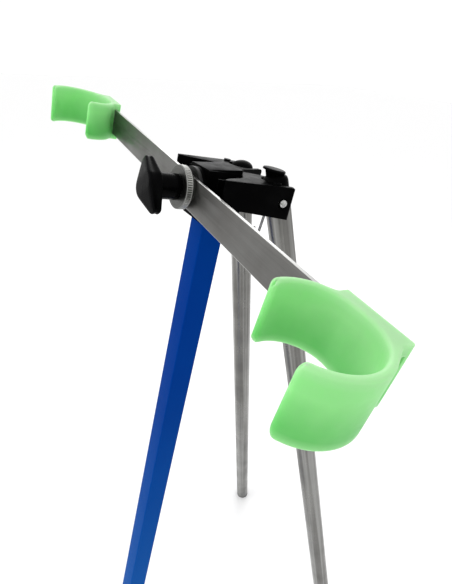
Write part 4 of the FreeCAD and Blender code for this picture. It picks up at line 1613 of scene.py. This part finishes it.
    def wing_rings(self) -> list[Ring]:
        """Rings of the wing from its flat back over its rounded rims to its sloping front.

        Returns:
            The rings, from back to front.
        """
        plan = self.wing_plan()
        into = inward(plan)
        rim = []
        for step in range(self.round_steps + 1):
            angle = math.pi / 2 * step / self.round_steps
            rim.append((self.wing_round * (1 - math.sin(angle)), self.wing_round * (1 - math.cos(angle))))
        back = self.disc_front + self.hub_length
        rings = []
        for inset, height in rim:
            rings.append([Vector((*(p + n * inset), back + height)) for p, n in zip(plan, into)])
        for row in range(1, self.wall_rows):
            share = row / self.wall_rows
            hollow = self.dish * math.sin(math.pi * share) ** 2
            ring = []
            for p, n in zip(plan, into):
                wall = self.roof(p.x) - 2 * self.wing_round
                ring.append(Vector((*(p + n * hollow), back + self.wing_round + wall * share)))
            rings.append(ring)
        for inset, height in reversed(rim):
            ring = [Vector((*(p + n * inset), back + self.roof(p.x) - height)) for p, n in zip(plan, into)]
            rings.append(ring)
        brim = [p + n * self.wing_round for p, n in zip(plan, into)]
        for share in self.crown_shares:
            rings.append([Vector((p.x * share, p.y * share, back + self.roof(p.x * share))) for p in brim])
        return rings

    def knob_mesh(self) -> bpy.types.Object:
        """Wing on a round hub, bored for the insert and the bolt's tip.

        Returns:
            The object.
        """
        wing = to_object(skin(self.wing_rings()), "wing")
        back = self.disc_front + self.hub_length
        profile = softened_profile(
            [
                (0.0, self.disc_front),
                (self.hub_radius - self.hub_chamfer, self.disc_front),
                (self.hub_radius, self.disc_front + self.hub_chamfer),
                (self.hub_radius, back + self.hub_inside),
                (0.0, back + self.hub_inside),
            ],
            self.hub_ease,
        )
        hub = to_object(lathe(profile, 96), "hub")
        mouth = self.disc_front - CUT_CLEAR
        bore = [
            (0.0, mouth), (self.bore_radius, mouth), (self.bore_radius, self.bore_end),
            (self.bore, self.bore_end), (self.bore, self.relief_end), (0.0, self.relief_end),
        ]
        return carved(joined([wing, hub]), [to_object(lathe(bore, 48), "bore")])

    def build_knob(self, frames: Frames) -> None:
        """Make the knob."""
        show(self.knob_mesh(), "wing_knob_grip", frames.knob, KNOB_BLACK, ["wing_knob"])


@dataclass
class Head:
    """The moulded head, its bolt and its rivets."""

    edge_round: float = 0.9
    bolt_round: float = 0.3
    washer_round: float = 0.2
    rivet_washer_round: float = 0.15
    rivet_radius: float = 3.0
    rivet_head_radius: float = 4.5
    rivet_head_height: float = 3.2
    rivet_seat: float = 18.4
    rivet_tail_height: float = 1.6
    rivet_tail_bevel: float = 0.5
    dome_steps: int = 12
    inner_face: float = 17.1
    rivet_washer_thick: float = 1.0
    hook_stack: float = 3.4

    def build(self, frames: Frames) -> None:
        """Make the head, bolt, washer and rivets.

        Args:
            frames: the sub-assemblies' frames.
        """
        head = from_node("head_body", frames.head, self.edge_round)
        show(head, "head_moulding", frames.head, BLACK, ["head_body"])
        for node, rounding in (("pivot_bolt", self.bolt_round), ("bolt_washer", self.washer_round)):
            piece = from_node(node, frames.axle, rounding)
            show(piece, f"{node}_plated", frames.axle, STEEL, [node])
        for side in Side:
            self.build_rivet(frames, side)
        washers = from_node("rivet_washers", frames.head, self.rivet_washer_round)
        show(washers, "rivet_washer_pair", frames.head, STEEL, ["rivet_washers"])

    def build_rivet(self, frames: Frames, side: Side) -> None:
        """Make one domed rivet along its pin.

        Args:
            frames: the sub-assemblies' frames.
            side: the side of the stand.
        """
        tail = self.inner_face + self.rivet_washer_thick + (self.hook_stack if side is Side.RIGHT else 0.0)
        radius, height = self.rivet_head_radius, self.rivet_head_height
        ball = (radius ** 2 + height ** 2) / (2 * height)
        dome = []
        for step in range(self.dome_steps + 1):
            rise = height * step / self.dome_steps
            flat = max(0.0, ball ** 2 - (rise + ball - height) ** 2)
            dome.append((math.sqrt(flat), self.rivet_seat + rise))
        dome[-1] = (0.0, self.rivet_seat + height)
        end, bevel = -tail - self.rivet_tail_height, self.rivet_tail_bevel
        profile = [
            (0.0, end),
            (radius - bevel, end),
            (radius, end + bevel),
            (radius, -tail),
            (self.rivet_radius, -tail),
            (self.rivet_radius, self.rivet_seat),
            *dome,
        ]
        rivet = to_object(lathe(profile, 64), "rivet")
        name = side.name.lower()
        place = frames.pins[side] @ turned(90.0 * side.value, "Y")
        show(rivet, f"pivot_rivet_dome_{name}", place, STEEL, [f"pivot_rivet_{name}"])


@dataclass
class FrontLeg:
    """The square front leg with its plug and foot."""

    width: float = 25.0
    wall: float = 1.5
    front: float = 16.2
    corner: float = 1.4
    inner_corner: float = 0.6
    top: float = 17.9
    foot_thick: float = 3.0
    end_ease: float = 0.3
    rows: int = 12
    plug_round: float = 0.4
    foot_round: float = 0.7

    def build(self, frames: Frames) -> None:
        """Make the tube, and round the plug and the foot.

        Args:
            frames: the sub-assemblies' frames.
        """
        middle = self.front + self.width / 2
        place = frames.head @ moved(y=middle)
        axes = frames.head.to_3x3()
        back_edge = frames.head.translation.z / MM + (self.front + self.width) * axes.col[1].z
        low = -back_edge / axes.col[2].z + self.foot_thick
        tube = to_object(self.tube(low, self.top), "front_tube")
        show(tube, "front_leg_square", place, LEG_BLUE, ["front_leg_tube"])
        plug = from_node("front_leg_plug", place, self.plug_round)
        show(plug, "front_leg_plug_block", place, BLACK, ["front_leg_plug"])
        foot = from_node("front_leg_foot", place, self.foot_round)
        show(foot, "front_leg_foot_cap", place, FOOT_RUBBER, ["front_leg_foot"])

    def square(self, half: float, corner: float, count: int = 6) -> Plan:
        """Rounded square, counter-clockwise.

        Args:
            half: half of the square's width.
            corner: the radius of its corners.
            count: the number of runs in each corner.

        Returns:
            The points.
        """
        found: Plan = []
        for number, (x, y) in enumerate(((1, 1), (-1, 1), (-1, -1), (1, -1))):
            centre = (x * (half - corner), y * (half - corner))
            found += arc(centre, corner, number * 90.0, number * 90.0 + 90.0, 90.0 / count)
        return found

    def tube(self, low: float, high: float) -> bmesh.types.BMesh:
        """Rounded square tube with eased ends and rings along its length.

        Args:
            low: height of the lower end.
            high: height of the upper end.

        Returns:
            The mesh.
        """
        half = self.width / 2
        ease = self.end_ease
        outer = self.square(half, self.corner)
        inner = self.square(half - self.wall, self.inner_corner)
        outer_low = self.square(half - ease, self.corner - ease)
        inner_low = self.square(half - self.wall + ease, self.inner_corner + ease)
        rings = []

        def ring(plan: Plan, height: float) -> None:
            """Add a ring at a height."""
            rings.append([Vector((p.x, p.y, height)) for p in plan])

        ring(outer_low, low)
        for row in range(self.rows + 1):
            ring(outer, low + ease + (high - low - 2 * ease) * row / self.rows)
        ring(outer_low, high)
        ring(inner_low, high)
        ring(inner, high - ease)
        ring(inner, low + ease)
        ring(inner_low, low)
        return skin(rings, capped=False)


@dataclass
class RearLeg:
    """A round rear leg: tube, moulded knuckle and foot."""

    radius: float = 12.5
    wall: float = 1.2
    lip: float = 9.0
    foot_thick: float = 3.0
    spigot_depth: float = 40.0
    slide_fit: float = 0.1
    dome_height: float = 11.6
    dome_collar: float = 4.0
    neck_height: float = 17.5
    neck_radius: float = 8.5
    cap_radius: float = 11.0
    cap_thick: float = 2.6
    cap_tilt: float = 24.0
    pin_radius: float = 3.1
    foot_round: float = 0.6
    tube_ease: float = 0.3
    tube_rows: int = 14
    dome_steps: int = 12
    dome_ease: float = 0.4
    neck_ease: float = 1.2
    cap_ease: float = 0.6
    neck_shape: Profile = ((1.0, 0.46), (0.94, 0.63), (0.66, 0.8), (0.4, 0.86), (0.0, 0.88))
    stub_shape: Profile = ((0.0, -0.5), (0.6, -0.5), (1.0, 0.0))
    cap_shape: Profile = ((0.94, 0.0), (1.0, 0.12), (1.0, 0.65), (0.9, 0.92), (0.5, 1.0), (0.0, 1.0))

    def pin_hole(self) -> bpy.types.Object:
        """Cutter for the rivet's hole, along X.

        Returns:
            The object.
        """
        radius, reach = self.pin_radius, 2 * self.radius
        hole = to_object(lathe([(0.0, -reach), (radius, -reach), (radius, reach), (0.0, reach)], 40), "pin")
        hole.data.transform(turned(90.0, "Y"))
        return hole

    def build(self, frames: Frames) -> None:
        """Make both legs.

        Args:
            frames: the sub-assemblies' frames.
        """
        for side in Side:
            place = frames.legs[side]
            upright = place.to_3x3().col[2].z
            reach = place.translation.z / MM / upright
            end = reach - self.foot_thick - self.radius * math.tan(math.acos(upright))
            self.build_tube(side, place, end)
            self.build_knuckle(side, place)
            name = side.name.lower()
            foot = from_node(f"rear_leg_foot_{name}", place, self.foot_round)
            show(foot, f"rear_leg_foot_cap_{name}", place, FOOT_RUBBER, [f"rear_leg_foot_{name}"])

    def build_tube(self, side: Side, place: Matrix, end: float) -> None:
        """Make the drawn tube with its eased ends.

        Args:
            side: the side of the stand.
            place: the frame that the piece is drawn in.
            end: how far the tube goes down from its pin.
        """
        inside = self.radius - self.wall
        section = [(inside, -end), (self.radius, -end)]
        for row in range(1, self.tube_rows):
            section.append((self.radius, -end + (end + self.lip) * row / self.tube_rows))
        section += [(self.radius, self.lip), (inside, self.lip)]
        section = softened_profile(section, self.tube_ease, closed=True, steps=2)
        tube = carved(to_object(lathe(section, 96, closed=True), "tube"), [self.pin_hole()])
        name = side.name.lower()
        show(tube, f"rear_leg_round_{name}", place, TUBE_METAL, [f"rear_leg_tube_{name}"])

    def knuckle_profile(self, side: Side) -> list[Span]:
        """Profile of the knuckle: a low dome on the left, a neck with a cap on the right.

        Args:
            side: the side of the stand.

        Returns:
            Radius and height of each corner.
        """
        spigot = self.radius - self.wall - self.slide_fit
        low = -self.spigot_depth
        profile = [(0.0, low), (spigot, low), (spigot, self.lip), (self.radius, self.lip)]
        if side is Side.LEFT:
            rise = self.dome_height - self.dome_collar
            start = self.lip + self.dome_collar
            for step in range(self.dome_steps + 1):
                angle = math.pi / 2 * step / self.dome_steps
                profile.append((self.radius * math.cos(angle), start + rise * math.sin(angle)))
            profile[-1] = (0.0, start + rise)
            return softened_profile(profile, self.dome_ease)
        for share, rise in self.neck_shape:
            profile.append((share * self.radius, self.lip + rise * self.neck_height))
        return softened_profile(profile, self.neck_ease, steps=5)

    def cap_mesh(self) -> bpy.types.Object:
        """Flat cap on a short stub, leaning back over the right knuckle's shoulder.

        Returns:
            The object.
        """
        profile = [(share * self.neck_radius, rise * self.neck_height) for share, rise in self.stub_shape]
        profile += [(share * self.cap_radius, rise * self.cap_thick) for share, rise in self.cap_shape]
        item = to_object(lathe(softened_profile(profile, self.cap_ease), 80), "cap")
        top = Matrix.Translation((0.0, 0.0, self.lip + self.neck_height))
        item.data.transform(top @ turned(-self.cap_tilt, "X"))
        return item

    def build_knuckle(self, side: Side, place: Matrix) -> None:
        """Make the moulded knuckle on its pin.

        Args:
            side: the side of the stand.
            place: the frame that the piece is drawn in.
        """
        knuckle = to_object(lathe(self.knuckle_profile(side), 80), "knuckle")
        if side is Side.RIGHT:
            knuckle = joined([knuckle, self.cap_mesh()])
        carved(knuckle, [self.pin_hole()])
        name = side.name.lower()
        show(knuckle, f"leg_knuckle_moulding_{name}", place, BLACK, [f"leg_knuckle_{name}"])


@dataclass
class WeightHook:
    """Wire hook on the right rivet: an eye, a sloping stem and a bend."""

    end_round: float = 0.1

    def build(self, frames: Frames) -> None:
        """Ease the wire's cut ends and give it its finish."""
        hook = from_node("weight_hook", frames.hook, self.end_round)
        show(hook, "weight_hook_wire", frames.hook, WIRE_STEEL, ["weight_hook"])


# Studio

@dataclass
class Studio:
    """Pale floor, soft lights and the camera at the photograph's angle."""

    back_light: Colour = (-1.5, 1.33, 1.6)
    back_size: float = 1.3
    back_power: float = 11.0
    key_light: Colour = (-0.6, -1.9, 1.9)
    key_size: float = 1.2
    key_power: float = 12.0
    light_aim: Colour = (0.0, -0.05, 0.8)
    floor_size: float = 24.0
    floor_tone: Colour = (0.95, 0.95, 0.95)
    sky_tone: Colour = (1.0, 1.0, 1.0)
    sky_strength: float = 1.05
    focal_pixels: float = 410.375
    image_width: float = 452.0
    image_height: float = 584.0
    principal_x: float = 233.313
    principal_y: float = 276.162
    sensor: float = 36.0
    eye: Colour = (0.34554, -0.22105, 0.94322)
    right: Colour = (0.51803, 0.85234, 0.07181)
    down: Colour = (0.44873, -0.19934, -0.87115)
    ahead: Colour = (-0.72820, 0.48351, -0.48573)

    def build(self) -> None:
        """Make the floor, the sky, the lights and the camera."""
        self.build_floor()
        self.build_sky()
        self.soft_light("back_softbox", self.back_light, self.back_size, self.back_power)
        self.soft_light("key_softbox", self.key_light, self.key_size, self.key_power)
        self.build_camera()
        bpy.context.scene.view_settings.view_transform = "Standard"

    def build_floor(self) -> None:
        """Lay a plain pale floor."""
        bm = bmesh.new()
        bmesh.ops.create_grid(bm, x_segments=8, y_segments=8, size=self.floor_size / 2)
        floor = to_object(bm, "studio_floor")
        desk = NodeDesk("pale_floor")
        desk.set(Base_Color=(*self.floor_tone, 1.0), Roughness=0.7, Specular_IOR_Level=0.2)
        floor.data.materials.append(desk.material)

    def build_sky(self) -> None:
        """Surround the studio with even pale light."""
        world = bpy.data.worlds.new("studio_sky")
        world.use_nodes = True
        ground = world.node_tree.nodes["Background"]
        ground.inputs["Color"].default_value = (*self.sky_tone, 1.0)
        ground.inputs["Strength"].default_value = self.sky_strength
        bpy.context.scene.world = world

    def soft_light(self, name: str, spot: Colour, size: float, power: float) -> None:
        """Hang a square softbox that faces the head.

        Args:
            name: the light's name.
            spot: its place in the row frame.
            size: its side in metres.
            power: its power in watts.
        """
        light = bpy.data.lights.new(name, "AREA")
        light.shape = "SQUARE"
        light.size = size
        light.energy = power
        lamp = bpy.data.objects.new(name, light)
        aim = Vector(self.light_aim) - Vector(spot)
        lamp.matrix_world = Matrix.Translation(spot) @ aim.to_track_quat("-Z", "Y").to_matrix().to_4x4()
        lamp.visible_camera = False
        bpy.context.scene.collection.objects.link(lamp)

    def build_camera(self) -> None:
        """Set the camera where the photograph was taken from."""
        data = bpy.data.cameras.new("photo_view")
        data.sensor_width = self.sensor
        data.sensor_fit = "AUTO"
        longest = max(self.image_width, self.image_height)
        data.lens = self.focal_pixels * self.sensor / longest
        data.shift_x = (self.image_width / 2 - self.principal_x) / longest
        data.shift_y = (self.principal_y - self.image_height / 2) / longest
        data.clip_start = 0.01
        camera = bpy.data.objects.new("photo_view", data)
        columns = (Vector(self.right), -Vector(self.down), -Vector(self.ahead))
        camera.matrix_world = Matrix.Translation(self.eye) @ Matrix([list(r) for r in zip(*columns)]).to_4x4()
        bpy.context.scene.collection.objects.link(camera)
        bpy.context.scene.camera = camera


def main() -> None:
    """Build every sub-assembly, then the studio."""
    logging.basicConfig(level=logging.INFO)
    frames = Frames(frame["joints"])
    bar = Crossbar()
    bar.build(frames)
    RodRest().build(frames, bar)
    Clamp().build(frames)
    Head().build(frames)
    FrontLeg().build(frames)
    RearLeg().build(frames)
    WeightHook().build(frames)
    Studio().build()


if __name__ == "__main__":
    main()
